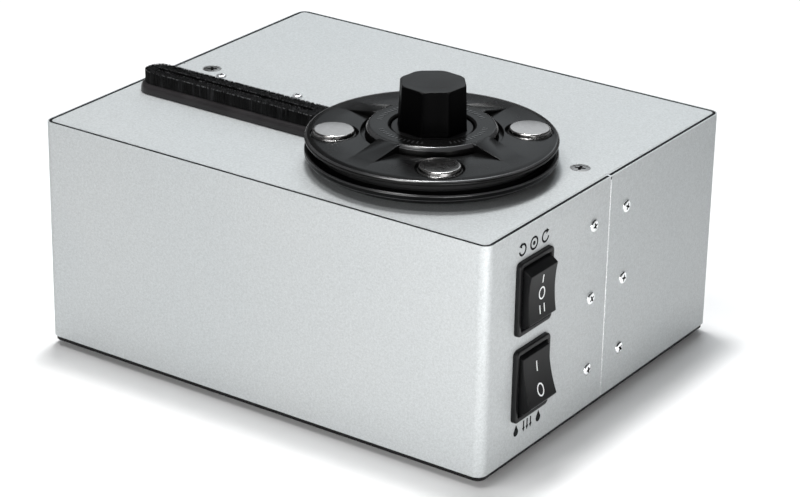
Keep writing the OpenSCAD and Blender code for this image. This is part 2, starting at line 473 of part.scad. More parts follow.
module power_unit() translate([-36, 46, z0]) {
    color([0.35, 0.36, 0.38]) difference() {
        translate([-25, -18, 0]) cube([50, 36, 42]);
        for (x = [-16.5, 8.5]) translate([x, -19, 8.5]) cube([8, 38, 25]);
    }
    color([0.5, 0.3, 0.12]) translate([0, 0, 8.7]) linear_extrude(24.6) difference() {
        square([32.6, 52], center = true);
        square([17.2, 36.2], center = true);
    }
}

translate(case_pos) base_plate();
translate(case_pos) feet();
translate(case_pos) front_wrap_skins();
translate(case_pos) front_wrap_core();
translate(case_pos) rear_wrap_skins();
translate(case_pos) rear_wrap_core();
translate(case_pos) left_joint_bracket();
translate(case_pos) right_joint_bracket();
translate(case_pos) left_side_screws();
translate(case_pos) right_side_screws();
translate(case_pos) top_plate();
translate(case_pos) top_screws();
translate(case_pos) base_screws();
translate(case_pos) bearing_housing();
translate(case_pos) drive_screws();
translate(case_pos) spindle_bush();
translate(case_pos) spindle();
translate(case_pos) shaft_coupling();
translate(case_pos) output_shaft();
translate(case_pos) drive_motor();
translate(case_pos) motor_gearbox();
translate(case_pos) motor_bracket();
translate(case_pos) motor_screws();
translate(case_pos) platter();
translate(case_pos) platter_screws();
translate(case_pos) platter_mat();
translate(case_pos) clamp_disc();
translate(case_pos) clamp_pad();
translate(case_pos) clamp_weights();
translate(case_pos) clamp_knob();
translate(case_pos) knob_insert();
translate(case_pos) suction_bar();
translate(case_pos) bristle_ring();
translate(case_pos) bar_screws();
translate(case_pos) suction_plenum();
translate(case_pos) suction_hose();
translate(case_pos) tank();
translate(case_pos) tank_lid();
translate(case_pos) tank_lid_seal();
translate(case_pos) tank_hanger();
translate(case_pos) hanger_screws();
translate(case_pos) vacuum_hose();
translate(case_pos) blower_can();
translate(case_pos) blower_shroud();
translate(case_pos) blower_mount();
translate(case_pos) blower_shaft();
translate(case_pos) impeller();
translate(case_pos) motor_switch_housing();
translate(case_pos) motor_switch_rocker();
translate(case_pos) vacuum_switch_housing();
translate(case_pos) vacuum_switch_rocker();
translate(case_pos) switch_terminals();
translate(case_pos) mains_inlet();
translate(case_pos) inlet_pins();
translate(case_pos) fuse_drawer();
translate(case_pos) exhaust_grille();
translate(case_pos) drain_hose();
translate(case_pos) drain_tap();
translate(case_pos) drain_lever();
translate(case_pos) power_unit();
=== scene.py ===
import bpy, bmesh, json, math, random
from mathutils import Vector, Matrix


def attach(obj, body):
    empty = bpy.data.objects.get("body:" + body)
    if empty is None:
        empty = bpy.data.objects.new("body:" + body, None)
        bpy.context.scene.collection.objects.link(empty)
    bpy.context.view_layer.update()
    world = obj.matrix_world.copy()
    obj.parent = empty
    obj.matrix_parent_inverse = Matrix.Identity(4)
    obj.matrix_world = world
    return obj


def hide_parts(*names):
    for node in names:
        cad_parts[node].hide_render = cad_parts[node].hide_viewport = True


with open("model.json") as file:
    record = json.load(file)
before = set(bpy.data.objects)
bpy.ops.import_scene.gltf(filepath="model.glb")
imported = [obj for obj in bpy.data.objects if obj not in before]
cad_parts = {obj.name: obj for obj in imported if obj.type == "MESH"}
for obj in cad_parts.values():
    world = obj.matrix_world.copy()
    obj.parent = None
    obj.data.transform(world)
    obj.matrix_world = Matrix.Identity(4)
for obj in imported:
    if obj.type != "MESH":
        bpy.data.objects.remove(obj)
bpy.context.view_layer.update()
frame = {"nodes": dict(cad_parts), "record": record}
NODES = frame["nodes"]

# ---------------------------------------------------------------- dimensions, mm, measured from the middle of the case
OX, OY = -4.3, -14.0
HW, HD = 112.5, 92.5
Z0, ZT = 5.0, 105.0
SX, SY = 46.0, -33.0
DISC_R = 52.3
ZP = ZT + 7.8
ZC = ZT + 11.0
TURN = 38.5
MM = 0.001


def V(x, y, z):
    return Vector(((x + OX) * MM, (y + OY) * MM, z * MM))


# ---------------------------------------------------------------- camera
AZ, EL, ROLL, FPX = 0.59728, 0.41268, 0.01915, 2736.2
back = Vector((math.sin(AZ) * math.cos(EL), -math.cos(AZ) * math.cos(EL), math.sin(EL)))
right = (-back).cross(Vector((0, 0, 1))).normalized()
up = right.cross(-back)
r_ = math.cos(ROLL) * right + math.sin(ROLL) * up
u_ = -math.sin(ROLL) * right + math.cos(ROLL) * up
cam_data = bpy.data.cameras.new("camera")
cam = bpy.data.objects.new("camera", cam_data)
bpy.context.scene.collection.objects.link(cam)
cam_data.sensor_width = 36.0
cam_data.sensor_fit = "HORIZONTAL"
cam_data.lens = FPX * 36.0 / 800.0
cam_data.clip_start = 0.05
cam_data.clip_end = 20
rot = Matrix((r_, u_, back)).transposed().to_4x4()
cam.matrix_world = Matrix.Translation(V(735.4506 - 112.5, -810.392 - 92.5, 518.535 + 5.0)) @ rot
bpy.context.scene.camera = cam
bpy.context.scene.view_settings.view_transform = "Standard"
bpy.context.scene.view_settings.look = "None"


# ---------------------------------------------------------------- material tools
def new_mat(name):
    m = bpy.data.materials.new(name)
    m.use_nodes = True
    nt = m.node_tree
    b = nt.nodes["Principled BSDF"]
    return m, nt, b


def tex_coord(nt):
    n = nt.nodes.new("ShaderNodeTexCoord")
    return n.outputs["Object"]


def noise(nt, coord, scale, detail=2.0, rough=0.5, dist=0.0):
    n = nt.nodes.new("ShaderNodeTexNoise")
    n.inputs["Scale"].default_value = scale
    n.inputs["Detail"].default_value = detail
    n.inputs["Roughness"].default_value = rough
    n.inputs["Distortion"].default_value = dist
    nt.links.new(coord, n.inputs["Vector"])
    return n.outputs["Fac"]


def stretch(nt, coord, sx, sy, sz):
    n = nt.nodes.new("ShaderNodeMapping")
    n.inputs["Scale"].default_value = (sx, sy, sz)
    nt.links.new(coord, n.inputs["Vector"])
    return n.outputs["Vector"]


def remap(nt, fac, lo, hi, a=0.3, b=0.7):
    n = nt.nodes.new("ShaderNodeMapRange")
    n.inputs["From Min"].default_value = a
    n.inputs["From Max"].default_value = b
    n.inputs["To Min"].default_value = lo
    n.inputs["To Max"].default_value = hi
    nt.links.new(fac, n.inputs["Value"])
    return n.outputs["Result"]


def ramp(nt, fac, c0, c1, a=0.3, b=0.7):
    n = nt.nodes.new("ShaderNodeValToRGB")
    n.color_ramp.elements[0].position = a
    n.color_ramp.elements[0].color = (*c0, 1)
    n.color_ramp.elements[1].position = b
    n.color_ramp.elements[1].color = (*c1, 1)
    nt.links.new(fac, n.inputs["Fac"])
    return n.outputs["Color"]


def bump(nt, b, height, strength, dist):
    n = nt.nodes.new("ShaderNodeBump")
    n.inputs["Strength"].default_value = strength
    n.inputs["Distance"].default_value = dist
    nt.links.new(height, n.inputs["Height"])
    nt.links.new(n.outputs["Normal"], b.inputs["Normal"])
    return n


def plastic(name, col, rough, spread=0.06, grain=1800.0, bstr=0.12, tint=0.25, spec=0.5):
    """moulded plastic: fine spark texture, slight wear in gloss and colour"""
    m, nt, b = new_mat(name)
    co = tex_coord(nt)
    f = noise(nt, co, grain, 2.0)
    g = noise(nt, co, 55.0, 3.0)
    nt.links.new(ramp(nt, g, tuple(c * (1 - tint) for c in col), tuple(c * (1 + tint) for c in col)), b.inputs["Base Color"])
    nt.links.new(remap(nt, g, rough - spread, rough + spread), b.inputs["Roughness"])
    b.inputs["Specular IOR Level"].default_value = spec
    bump(nt, b, f, bstr, 0.00005)
    return m


def metal(name, col, rough, spread=0.05, grain=900.0, bstr=0.05, tint=0.05, streak=None):
    m, nt, b = new_mat(name)
    co = tex_coord(nt)
    if streak:
        co2 = stretch(nt, co, *streak)
    else:
        co2 = co
    f = noise(nt, co2, grain, 3.0)
    g = noise(nt, co, 30.0, 2.0)
    nt.links.new(ramp(nt, g, tuple(c * (1 - tint) for c in col), tuple(min(1, c * (1 + tint)) for c in col)), b.inputs["Base Color"])
    b.inputs["Metallic"].default_value = 1.0
    nt.links.new(remap(nt, f, rough - spread, rough + spread), b.inputs["Roughness"])
    bump(nt, b, f, bstr, 0.00005)
    return m


def panel_mat(name, base, rough, grain_col=0.13):
    """fine satin anodised skin: a sparkling grain of about 0.3 mm, and a very faint rolled cloudiness"""
    m, nt, b = new_mat(name)
    co = tex_coord(nt)
    grain = noise(nt, co, 2300.0, 1.5, 0.6)
    grain2 = noise(nt, co, 1050.0, 2.0, 0.6)
    cloud = noise(nt, co, 9.0, 3.0, 0.55)
    mixg = nt.nodes.new("ShaderNodeMath"); mixg.operation = "ADD"
    nt.links.new(grain, mixg.inputs[0]); nt.links.new(grain2, mixg.inputs[1])
    half = nt.nodes.new("ShaderNodeMath"); half.operation = "MULTIPLY"; half.inputs[1].default_value = 0.5
    nt.links.new(mixg.outputs[0], half.inputs[0])
    c1 = ramp(nt, half.outputs[0], tuple(c * (1 - grain_col) for c in base), tuple(min(1.0, c * (1 + grain_col)) for c in base), 0.36, 0.64)
    mix = nt.nodes.new("ShaderNodeMix"); mix.data_type = "RGBA"; mix.blend_type = "MULTIPLY"
    mix.inputs["Factor"].default_value = 1.0
    c2 = ramp(nt, cloud, (0.97, 0.98, 0.985), (1.0, 1.0, 1.0), 0.35, 0.65)
    nt.links.new(c1, mix.inputs["A"]); nt.links.new(c2, mix.inputs["B"])
    nt.links.new(mix.outputs["Result"], b.inputs["Base Color"])
    b.inputs["Metallic"].default_value = 0.24
    b.inputs["Specular IOR Level"].default_value = 0.4
    nt.links.new(remap(nt, half.outputs[0], rough - 0.05, rough + 0.05, 0.36, 0.64), b.inputs["Roughness"])
    bump(nt, b, half.outputs[0], 0.10, 0.00008)
    return m


def pile_mat(name):
    """short black nylon pile: fine upright streaks, a little lighter where tufts part"""
    m, nt, b = new_mat(name)
    co = stretch(nt, tex_coord(nt), 1.0, 1.0, 0.06)
    fine = noise(nt, co, 2600.0, 2.0, 0.6)
    tuft = noise(nt, co, 420.0, 3.0, 0.6)
    mul = nt.nodes.new("ShaderNodeMath"); mul.operation = "MULTIPLY"
    nt.links.new(remap(nt, fine, 0.25, 1.0, 0.35, 0.65), mul.inputs[0])
    nt.links.new(remap(nt, tuft, 0.0, 1.0, 0.42, 0.68), mul.inputs[1])
    nt.links.new(ramp(nt, mul.outputs[0], (0.0010, 0.0010, 0.0012), (0.030, 0.030, 0.032), 0.22, 0.95), b.inputs["Base Color"])
    b.inputs["Roughness"].default_value = 0.55
    b.inputs["Specular IOR Level"].default_value = 0.15
    bump(nt, b, fine, 0.3, 0.00012)
    return m


M = {}
M["panel"] = panel_mat("silver_panel", (0.490, 0.508, 0.512), 0.55)
M["core"] = plastic("core_black", (0.004, 0.004, 0.0045), 0.6, spec=0.12)
M["base"] = plastic("base_black", (0.005, 0.005, 0.0055), 0.5, grain=1200.0, spec=0.2)
M["rubber"] = plastic("rubber", (0.009, 0.009, 0.0095), 0.8, grain=900.0, bstr=0.2, spec=0.25)
M["seam"] = metal("seam_metal", (0.93, 0.94, 0.94), 0.25)
M["screw"] = metal("screw_steel", (0.88, 0.89, 0.90), 0.16, 0.05, 700.0, 0.03)
M["blackscrew"] = plastic("black_screw", (0.008, 0.008, 0.008), 0.4, spec=0.3)
M["spindle"] = metal("spindle_steel", (0.75, 0.76, 0.77), 0.2, 0.04, 400.0, 0.05, 0.03, (1, 1, 12))
M["cast"] = metal("cast_grey", (0.6, 0.61, 0.62), 0.45, 0.08, 500.0, 0.15)
M["brass"] = metal("brass", (0.78, 0.58, 0.26), 0.28)
M["motor"] = plastic("motor_dark", (0.09, 0.095, 0.1), 0.4)
M["zinc"] = metal("zinc_plate", (0.66, 0.67, 0.66), 0.35, 0.08, 60.0, 0.04, 0.08)
M["clamp"] = plastic("clamp_black", (0.0030, 0.0029, 0.0029), 0.25, 0.04, 1500.0, 0.05, spec=0.135)
# knob sides: almost black and almost without gloss, painted shade that keeps the faceted sides dark
M["knob"] = plastic("knob_black", (0.0006, 0.0006, 0.0007), 0.36, 0.03, 1500.0, 0.04, spec=0.014)
M["weight"] = metal("polished_weight", (0.43, 0.415, 0.405), 0.195, 0.03, 500.0, 0.02, 0.02)
# weight_side_painted_shade: a darker copy of the weight metal for the sides and lower step, painted shade
M["weightside"] = metal("weight_side_painted_shade", (0.16, 0.157, 0.155), 0.26, 0.03, 500.0, 0.02, 0.02)
M["bar"] = plastic("bar_black", (0.0225, 0.0208, 0.0220), 0.36, 0.04, 1300.0, 0.08, spec=0.32)
M["hose"] = plastic("hose", (0.01, 0.01, 0.0105), 0.5, spec=0.3)
M["tank"] = plastic("tank_plastic", (0.62, 0.66, 0.66), 0.35)
M["lid"] = plastic("lid_plastic", (0.07, 0.07, 0.075), 0.45)
M["housing"] = plastic("switch_body", (0.0052, 0.0052, 0.0056), 0.40, 0.04, 1600.0, 0.12, spec=0.2)
M["rocker"] = plastic("switch_rocker", (0.0042, 0.0043, 0.0046), 0.36, 0.03, 2200.0, 0.06, spec=0.13)
M["inlet"] = plastic("inlet_black", (0.006, 0.006, 0.0064), 0.42, spec=0.25)
M["red"] = plastic("lever_red", (0.35, 0.012, 0.012), 0.32)
# near-black for the cross recesses of the screw heads: painted shade in the hollows
M["pit"] = plastic("recess_painted_shade", (0.003, 0.003, 0.0034), 0.6, spec=0.1)
M["capscrew"] = metal("cap_screw", (0.90, 0.91, 0.92), 0.42, 0.05, 700.0, 0.03)
M["topscrew"] = metal("top_screw", (0.33, 0.325, 0.32), 0.30, 0.06, 500.0, 0.05)
M["platter"] = plastic("platter_black", (0.0015, 0.0015, 0.0017), 0.25, 0.03, 1500.0, 0.05, spec=0.08)
# knob_top: a lighter, glossier copy of the knob plastic for the upward faces, painted light on the top
M["knobtop"] = plastic("knob_top", (0.0050, 0.0048, 0.0048), 0.33, 0.04, 1500.0, 0.05, spec=0.155)
# a lighter, very glossy copy of the black plastic for rounded rims and raised strokes: painted highlight lines
M["edge"] = plastic("edge_painted_highlight", (0.030, 0.030, 0.031), 0.22, 0.04, 1500.0, 0.03, spec=0.75)
M["knobfoot"] = plastic("knob_foot", (0.006, 0.006, 0.0063), 0.35, 0.03, 1500.0, 0.05, spec=0.2)
M["bristle"] = pile_mat("bristle_black")
# light grey fibre tips along the pile's top edges: painted highlight
M["bristle_tip"] = plastic("bristle_tip", (0.19, 0.193, 0.197), 0.4, 0.05, 900.0, 0.05, spec=0.25)
M["white"] = plastic("mark_white", (0.80, 0.81, 0.81), 0.5, tint=0.03)
M["print"] = plastic("mark_black", (0.004, 0.004, 0.0045), 0.6, spec=0.1)

SLOT_MAT = {
    "silver_panel": "panel", "core_black": "core", "base_black": "base", "rubber": "rubber", "seam_metal": "seam", "screw_steel": "screw",
    "black_screw": "blackscrew", "spindle_steel": "spindle", "cast_grey": "cast", "brass": "brass", "motor_dark": "motor", "zinc_plate": "zinc",
    "clamp_black": "clamp", "knob_black": "knob", "polished_weight": "weight", "bar_black": "bar", "hose": "hose", "tank_plastic": "tank",
    "lid_plastic": "lid", "switch_body": "housing", "switch_rocker": "rocker", "inlet_black": "inlet", "lever_red": "red", "bristle": "bristle"}
for sp in frame["record"]["subparts"]:
    ob = NODES.get(sp["node"])
    if ob is None:
        continue
    mat = M[SLOT_MAT[sp["material_slot"]]]
    if len(ob.material_slots) == 0:
        ob.data.materials.append(mat)
    for s in ob.material_slots:
        s.material = mat


# ---------------------------------------------------------------- mesh tools
def finish_mesh(name, bm, mat, angle=35.0):
    bmesh.ops.remove_doubles(bm, verts=bm.verts, dist=1e-7)
    bmesh.ops.recalc_face_normals(bm, faces=bm.faces)
    lim = math.radians(angle)
    for f in bm.faces:
        f.smooth = True
    for e_ in bm.edges:
        e_.smooth = not (len(e_.link_faces) == 2 and e_.calc_face_angle(0) > lim)
    me = bpy.data.meshes.new(name)
    bm.to_mesh(me)
    bm.free()
    ob = bpy.data.objects.new(name, me)
    bpy.context.scene.collection.objects.link(ob)
    me.materials.append(mat)
    return ob


def loops(bm, rings, close=True, cap0=False, cap1=False):
    """joins rings of points (in metres) with quads"""
    vs = [[bm.verts.new(p) for p in ring] for ring in rings]
    n = len(vs[0])
    for a, b in zip(vs[:-1], vs[1:]):
        for i in range(n if close else n - 1):
            j = (i + 1) % n
            try:
                bm.faces.new((a[i], a[j], b[j], b[i]))
            except ValueError:
                pass
    if cap0:
        bm.faces.new(list(reversed(vs[0])))
    if cap1:
        bm.faces.new(vs[-1])
    return vs


def round_profile(pts, rad, seg=4):
    """rounds the corners of an open or closed list of (r, z) points; rad is one value or a list"""
    out = []
    n = len(pts)
    for i, p in enumerate(pts):
        rr = rad[i] if isinstance(rad, (list, tuple)) else rad
        if i == 0 or i == n - 1 or rr <= 0:
            out.append(p)
            continue
        a, b = Vector(pts[i - 1]), Vector(pts[i + 1])
        c = Vector(p)
        da, db = (a - c), (b - c)
        la, lb = da.length, db.length
        if la < 1e-6 or lb < 1e-6:
            out.append(p)
            continue
        d = min(rr, la * 0.49, lb * 0.49)
        da.normalize(); db.normalize()
        p0, p1 = c + da * d, c + db * d
        for k in range(seg + 1):
            t = k / seg
            q = p0 * (1 - t) ** 2 + c * 2 * t * (1 - t) + p1 * t ** 2
            out.append((q.x, q.y))
    return out


def lathe(name, prof, cx, cy, mat, segs=128, angle=35.0, closed=True):
    bm = bmesh.new()
    rings = []
    for r, z in prof:
        rings.append([V(cx + r * math.cos(2 * math.pi * i / segs), cy + r * math.sin(2 * math.pi * i / segs), z) for i in range(segs)])
    if closed:
        rings.append(rings[0])
    vs = loops(bm, rings)
    return finish_mesh(name, bm, mat, angle)


def apply_mods(ob):
    dg = bpy.context.evaluated_depsgraph_get()
    ev = ob.evaluated_get(dg)
    me = bpy.data.meshes.new_from_object(ev)
    old = ob.data
    ob.modifiers.clear()
    ob.data = me
    bpy.data.meshes.remove(old)
    return ob


def boolean(ob, cutter, op="DIFFERENCE"):
    m = ob.modifiers.new("b", "BOOLEAN")
    m.operation = op
    m.solver = "EXACT"
    m.object = cutter
    apply_mods(ob)
    bpy.data.objects.remove(cutter, do_unlink=True)
    return ob


def reshade(ob, angle=35.0):
    bm = bmesh.new()
    bm.from_mesh(ob.data)
    lim = math.radians(angle)
    for f in bm.faces:
        f.smooth = True
    for e_ in bm.edges:
        e_.smooth = not (len(e_.link_faces) == 2 and e_.calc_face_angle(0) > lim)
    bm.to_mesh(ob.data)
    bm.free()
    return ob


def cad_copy(node, name, mat, width=0.25, seg=2, angle=30.0, dissolve=1.0):
    """a copy of a CAD piece with small rounds on its sharp edges, as moulding or deburring leaves them"""
    src = NODES[node]
    bm = bmesh.new()
    bm.from_mesh(src.data)
    bmesh.ops.transform(bm, matrix=src.matrix_world, verts=bm.verts)
    bmesh.ops.remove_doubles(bm, verts=bm.verts, dist=2e-6)
    bmesh.ops.dissolve_limit(bm, angle_limit=math.radians(dissolve), verts=bm.verts, edges=bm.edges, delimit={"NORMAL"})
    me = bpy.data.meshes.new(name)
    bm.to_mesh(me)
    bm.free()
    ob = bpy.data.objects.new(name, me)
    bpy.context.scene.collection.objects.link(ob)
    me.materials.append(mat)
    md = ob.modifiers.new("bev", "BEVEL")
    md.width = width * MM
    md.segments = seg
    md.limit_method = "ANGLE"
    md.angle_limit = math.radians(angle)
    md.use_clamp_overlap = True
    md.harden_normals = False
    apply_mods(ob)
    reshade(ob, 40.0)
    return ob


def put(ob, body, slot, *nodes):
    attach(ob, body)
    if nodes:
        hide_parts(*nodes)
    return ob


def join(obs, name):
    bm = bmesh.new()
    for o in obs:
        me = o.data
        tmp = bmesh.new()
        tmp.from_mesh(me)
        bmesh.ops.transform(tmp, matrix=o.matrix_world, verts=tmp.verts)
        m2 = bpy.data.meshes.new("t")
        tmp.to_mesh(m2)
        tmp.free()
        bm.from_mesh(m2)
        bpy.data.meshes.remove(m2)
    me = bpy.data.meshes.new(name)
    bm.to_mesh(me)
    bm.free()
    for mt in obs[0].data.materials:
        me.materials.append(mt)
    ob = bpy.data.objects.new(name, me)
    bpy.context.scene.collection.objects.link(ob)
    for o in obs:
        bpy.data.objects.remove(o, do_unlink=True)
    return ob



def loft(name, rings, mat, cap0=True, cap1=True, angle=35.0):
    bm = bmesh.new()
    loops(bm, rings, True, cap0, cap1)
    return finish_mesh(name, bm, mat, angle)


def rrect_pts(w, d, r, n=8):
    pts = []
    for sx, sy, a0 in ((1, 1, 0), (-1, 1, 90), (-1, -1, 180), (1, -1, 270)):
        for k in range(n + 1):
            a = math.radians(a0 + 90 * k / n)
            pts.append((sx * (w / 2 - r) + r * math.cos(a), sy * (d / 2 - r) + r * math.sin(a)))
    return pts


def box_cutter(x0, x1, y0, y1, z0, z1):
    bm = bmesh.new()
    rings = [[V(x0, y0, z), V(x1, y0, z), V(x1, y1, z), V(x0, y1, z)] for z in (z0, z1)]
    loops(bm, rings, True, True, True)
    return finish_mesh("cut", bm, M["core"])


def cyl_cutter(c, axis, r, h0, h1, n=96):
    bm = bmesh.new()
    rings = []
    for h in (h0, h1):
        ring = []
        for i in range(n):
            a = 2 * math.pi * i / n
            p, q = r * math.cos(a), r * math.sin(a)
            if axis == "z":
                ring.append(V(c[0] + p, c[1] + q, c[2] + h))
            elif axis == "y":
                ring.append(V(c[0] + p, c[1] + h, c[2] + q))
            else:
                ring.append(V(c[0] + h, c[1] + p, c[2] + q))
        rings.append(ring)
    loops(bm, rings, True, True, True)
    return finish_mesh("cut", bm, M["core"])


def strip(pts, width, fn, closed=False, th=0.06, deep=0.1):
    """a raised line of the given width along a flat polyline; fn turns (a, b, height) into a place"""
    n = len(pts)
    rings = []
    for i in range(n):
        p0 = Vector(pts[(i - 1) % n]) if (closed or i > 0) else Vector(pts[i])
        p1 = Vector(pts[(i + 1) % n]) if (closed or i < n - 1) else Vector(pts[i])
        t = (p1 - p0).normalized()
        nn = Vector((-t.y, t.x)) * width / 2
        c = Vector(pts[i])
        q, p = c + nn, c - nn
        rings.append([fn(p.x, p.y, -deep), fn(p.x, p.y, th), fn(q.x, q.y, th), fn(q.x, q.y, -deep)])
    if closed:
        rings.append(rings[0])
    bm = bmesh.new()
    loops(bm, rings, True, not closed, not closed)
    return finish_mesh("strip", bm, M["white"])


def patch(pts, fn, th=0.06, deep=0.1):
    bm = bmesh.new()
    loops(bm, [[fn(p[0], p[1], -deep) for p in pts], [fn(p[0], p[1], th) for p in pts]], True, True, True)
    return finish_mesh("patch", bm, M["white"])


def arc(cx, cy, r, a0, a1, n=24, ry=None):
    ry = r if ry is None else ry
    return [(cx + r * math.cos(math.radians(a0 + (a1 - a0) * k / n)), cy + ry * math.sin(math.radians(a0 + (a1 - a0) * k / n))) for k in range(n + 1)]


def with_mat(ob, mat):
    ob.data.materials.clear()
    ob.data.materials.append(mat)
    return ob


# ---------------------------------------------------------------- case walls: thin skins on a black core, with rounded folds
SEAM = 0.45


def wrap_path(o, half, n=18):
    w, d, r = HW - o, HD - o, max(4.5 - o, 0.4)
    pts = [(w, -SEAM)]
    pts += [(w - r + r * math.cos(math.radians(-90 * k / n)), -(d - r) + r * math.sin(math.radians(-90 * k / n))) for k in range(n + 1)]
    pts += [(-(w - r) + r * math.cos(math.radians(-90 - 90 * k / n)), -(d - r) + r * math.sin(math.radians(-90 - 90 * k / n))) for k in range(n + 1)]
    pts += [(-w, -SEAM)]
    if half > 0:
        pts = [(x, -y) for x, y in pts]
    return pts


def wrap_band(name, o0, o1, zlo, zhi, half, mat, bev):
    bm = bmesh.new()
    spec = [(zlo, o0, o1), (zhi - bev, o0, o1)]
    for k in range(1, 4):
        a = math.radians(30 * k)
        spec.append((zhi - bev + bev * math.sin(a), o0 + bev * (1 - math.cos(a)), o1 - bev * (1 - math.cos(a)))) if bev > 0 else None
    if bev <= 0:
        spec[-1] = (zhi, o0, o1)
    A, B = [], []
    for z, a, b in spec:
        A.append([bm.verts.new(V(x, y, z)) for x, y in wrap_path(a, half)])
        B.append([bm.verts.new(V(x, y, z)) for x, y in wrap_path(b, half)])
    n = len(A[0])
    for S in (A, B):
        for r0, r1 in zip(S[:-1], S[1:]):
            for i in range(n - 1):
                bm.faces.new((r0[i], r0[i + 1], r1[i + 1], r1[i]))
    for k in (0, len(spec) - 1):
        for i in range(n - 1):
            bm.faces.new((A[k][i], A[k][i + 1], B[k][i + 1], B[k][i]))
    for i in (0, n - 1):
        for k in range(len(spec) - 1):
            bm.faces.new((A[k][i], A[k + 1][i], B[k + 1][i], B[k][i]))
    return finish_mesh(name, bm, mat, 50.0)


SWY, SWZ = -58.8, (75.2, 37.0)
INX, INZ = -80.0, 38.0


def wall_cuts(ob, half):
    if half < 0:
        for z in SWZ:
            boolean(ob, box_cutter(HW - 6, HW + 6, SWY - 11.2, SWY + 11.2, z - 15.2, z + 15.2))
    else:
        boolean(ob, box_cutter(INX - 14.2, INX + 14.2, HD - 6, HD + 6, INZ - 15.2, INZ + 15.2))
        boolean(ob, box_cutter(48 - 30, 48 + 30, HD - 6, HD + 6, 30, 80))
        boolean(ob, cyl_cutter((-4, HD, 17), "y", 6.6, -6, 6))
    return ob


for half, nm in ((-1, "front"), (1, "rear")):
    outer = wall_cuts(wrap_band(nm + "_outer_skin", 0.0, 0.6, Z0, ZT, half, M["panel"], 0.12), half)
    inner = wall_cuts(wrap_band(nm + "_inner_skin", 1.95, 2.6, Z0, ZT, half, M["panel"], 0.1), half)
    sk = reshade(join([outer, inner], nm + "_skins"), 40.0)
    put(sk, "root", "silver_panel", nm + "_wrap_skins")
    core = reshade(wall_cuts(wrap_band(nm + "_core", 0.605, 1.945, Z0 + 0.01, ZT - 0.04, half, M["core"], 0.0), half), 40.0)
    put(core, "root", "core_black", nm + "_wrap_core")

for s in (1, -1):
    a0, a1 = sorted((s * (HW - 2.4), s * (HW - 0.12)))
    put(with_mat(box_cutter(a0, a1, -SEAM + 0.02, SEAM - 0.02, ZT - 1.6, ZT - 0.25), M["core"]), "root", "core_black").name = "seam_filler_" + ("right" if s > 0 else "left")

# ---------------------------------------------------------------- cross-head screws
def phillips(r, h, pan=True, seg=44, mat=None, pit=None):
    """head with its seat at z 0, in mm; returns a mesh"""
    prof = [(0.02, -0.3), (r * 0.5, -0.3), (r * 0.96, -0.3)]
    if pan:
        prof += [(r, -0.2), (r, h * 0.28)]
        for k in range(1, 9):
            a = math.radians(90 * k / 8)
            prof.append((r * (0.42 + 0.58 * math.cos(a) ** 0.8) if k < 8 else r * 0.42, h * (0.28 + 0.72 * math.sin(a))))
        prof += [(r * 0.2, h * 1.01), (0.02, h * 1.01)]
    else:
        prof += [(r, -0.2), (r, h - 0.16), (r - 0.05, h - 0.05), (r - 0.16, h), (r * 0.5, h + 0.01), (0.02, h + 0.01)]
    bm = bmesh.new()
    rings = [[Vector((q * math.cos(2 * math.pi * i / seg), q * math.sin(2 * math.pi * i / seg), z)) for i in range(seg)] for q, z in prof]
    loops(bm, rings, True, True, True)
    ob = finish_mesh("head", bm, mat or M["screw"], 38.0)
    bm = bmesh.new()
    L, W, D = r * 0.6, r * 0.15, (h * 0.75 if pan else 1.5)
    pts = [(L, W), (W * 1.25, W * 1.25), (W, L), (-W, L), (-W * 1.25, W * 1.25), (-L, W), (-L, -W), (-W * 1.25, -W * 1.25), (-W, -L), (W, -L), (W * 1.25, -W * 1.25), (L, -W)]
    rings = [[Vector((x * f, y * f, z)) for x, y in pts] for z, f in ((h - D - 0.25, 0.35), (h - D * 0.35, 0.8), (h + 0.6, 1.12))]
    loops(bm, rings, True, True, True)
    cut = finish_mesh("cut", bm, pit or M["pit"], 38.0)
    # the cross recess walls take the pit material, painted shade in the cross
    ob.data.materials.append(pit or M["pit"])
    cut.data.materials.clear()
    cut.data.materials.append(mat or M["screw"])
    cut.data.materials.append(pit or M["pit"])
    for f in cut.data.polygons:
        f.material_index = 1
    boolean(ob, cut)
    reshade(ob, 35.0)
    return ob


def place_heads(proto, mats, name):
    """copies the head to each matrix, in one object"""
    bm = bmesh.new()
    for mx in mats:
        t = bmesh.new()
        t.from_mesh(proto.data)
        bmesh.ops.transform(t, matrix=mx, verts=t.verts)
        m2 = bpy.data.meshes.new("t")
        t.to_mesh(m2)
        t.free()
        bm.from_mesh(m2)
        bpy.data.meshes.remove(m2)
    me = bpy.data.meshes.new(name)
    bm.to_mesh(me)
    bm.free()
    for m_ in proto.data.materials:
        me.materials.append(m_)
    ob = bpy.data.objects.new(name, me)
    bpy.context.scene.collection.objects.link(ob)
    return ob


def mx(x, y, z, zdir, spin):
    """matrix that sets a head made in mm on the point, its axis along zdir, turned by spin degrees"""
    q = Vector(zdir).to_track_quat("Z", "Y").to_matrix().to_4x4()
    return Matrix.Translation(V(x, y, z)) @ q @ Matrix.Rotation(math.radians(spin), 4, "Z") @ Matrix.Scale(MM, 4)


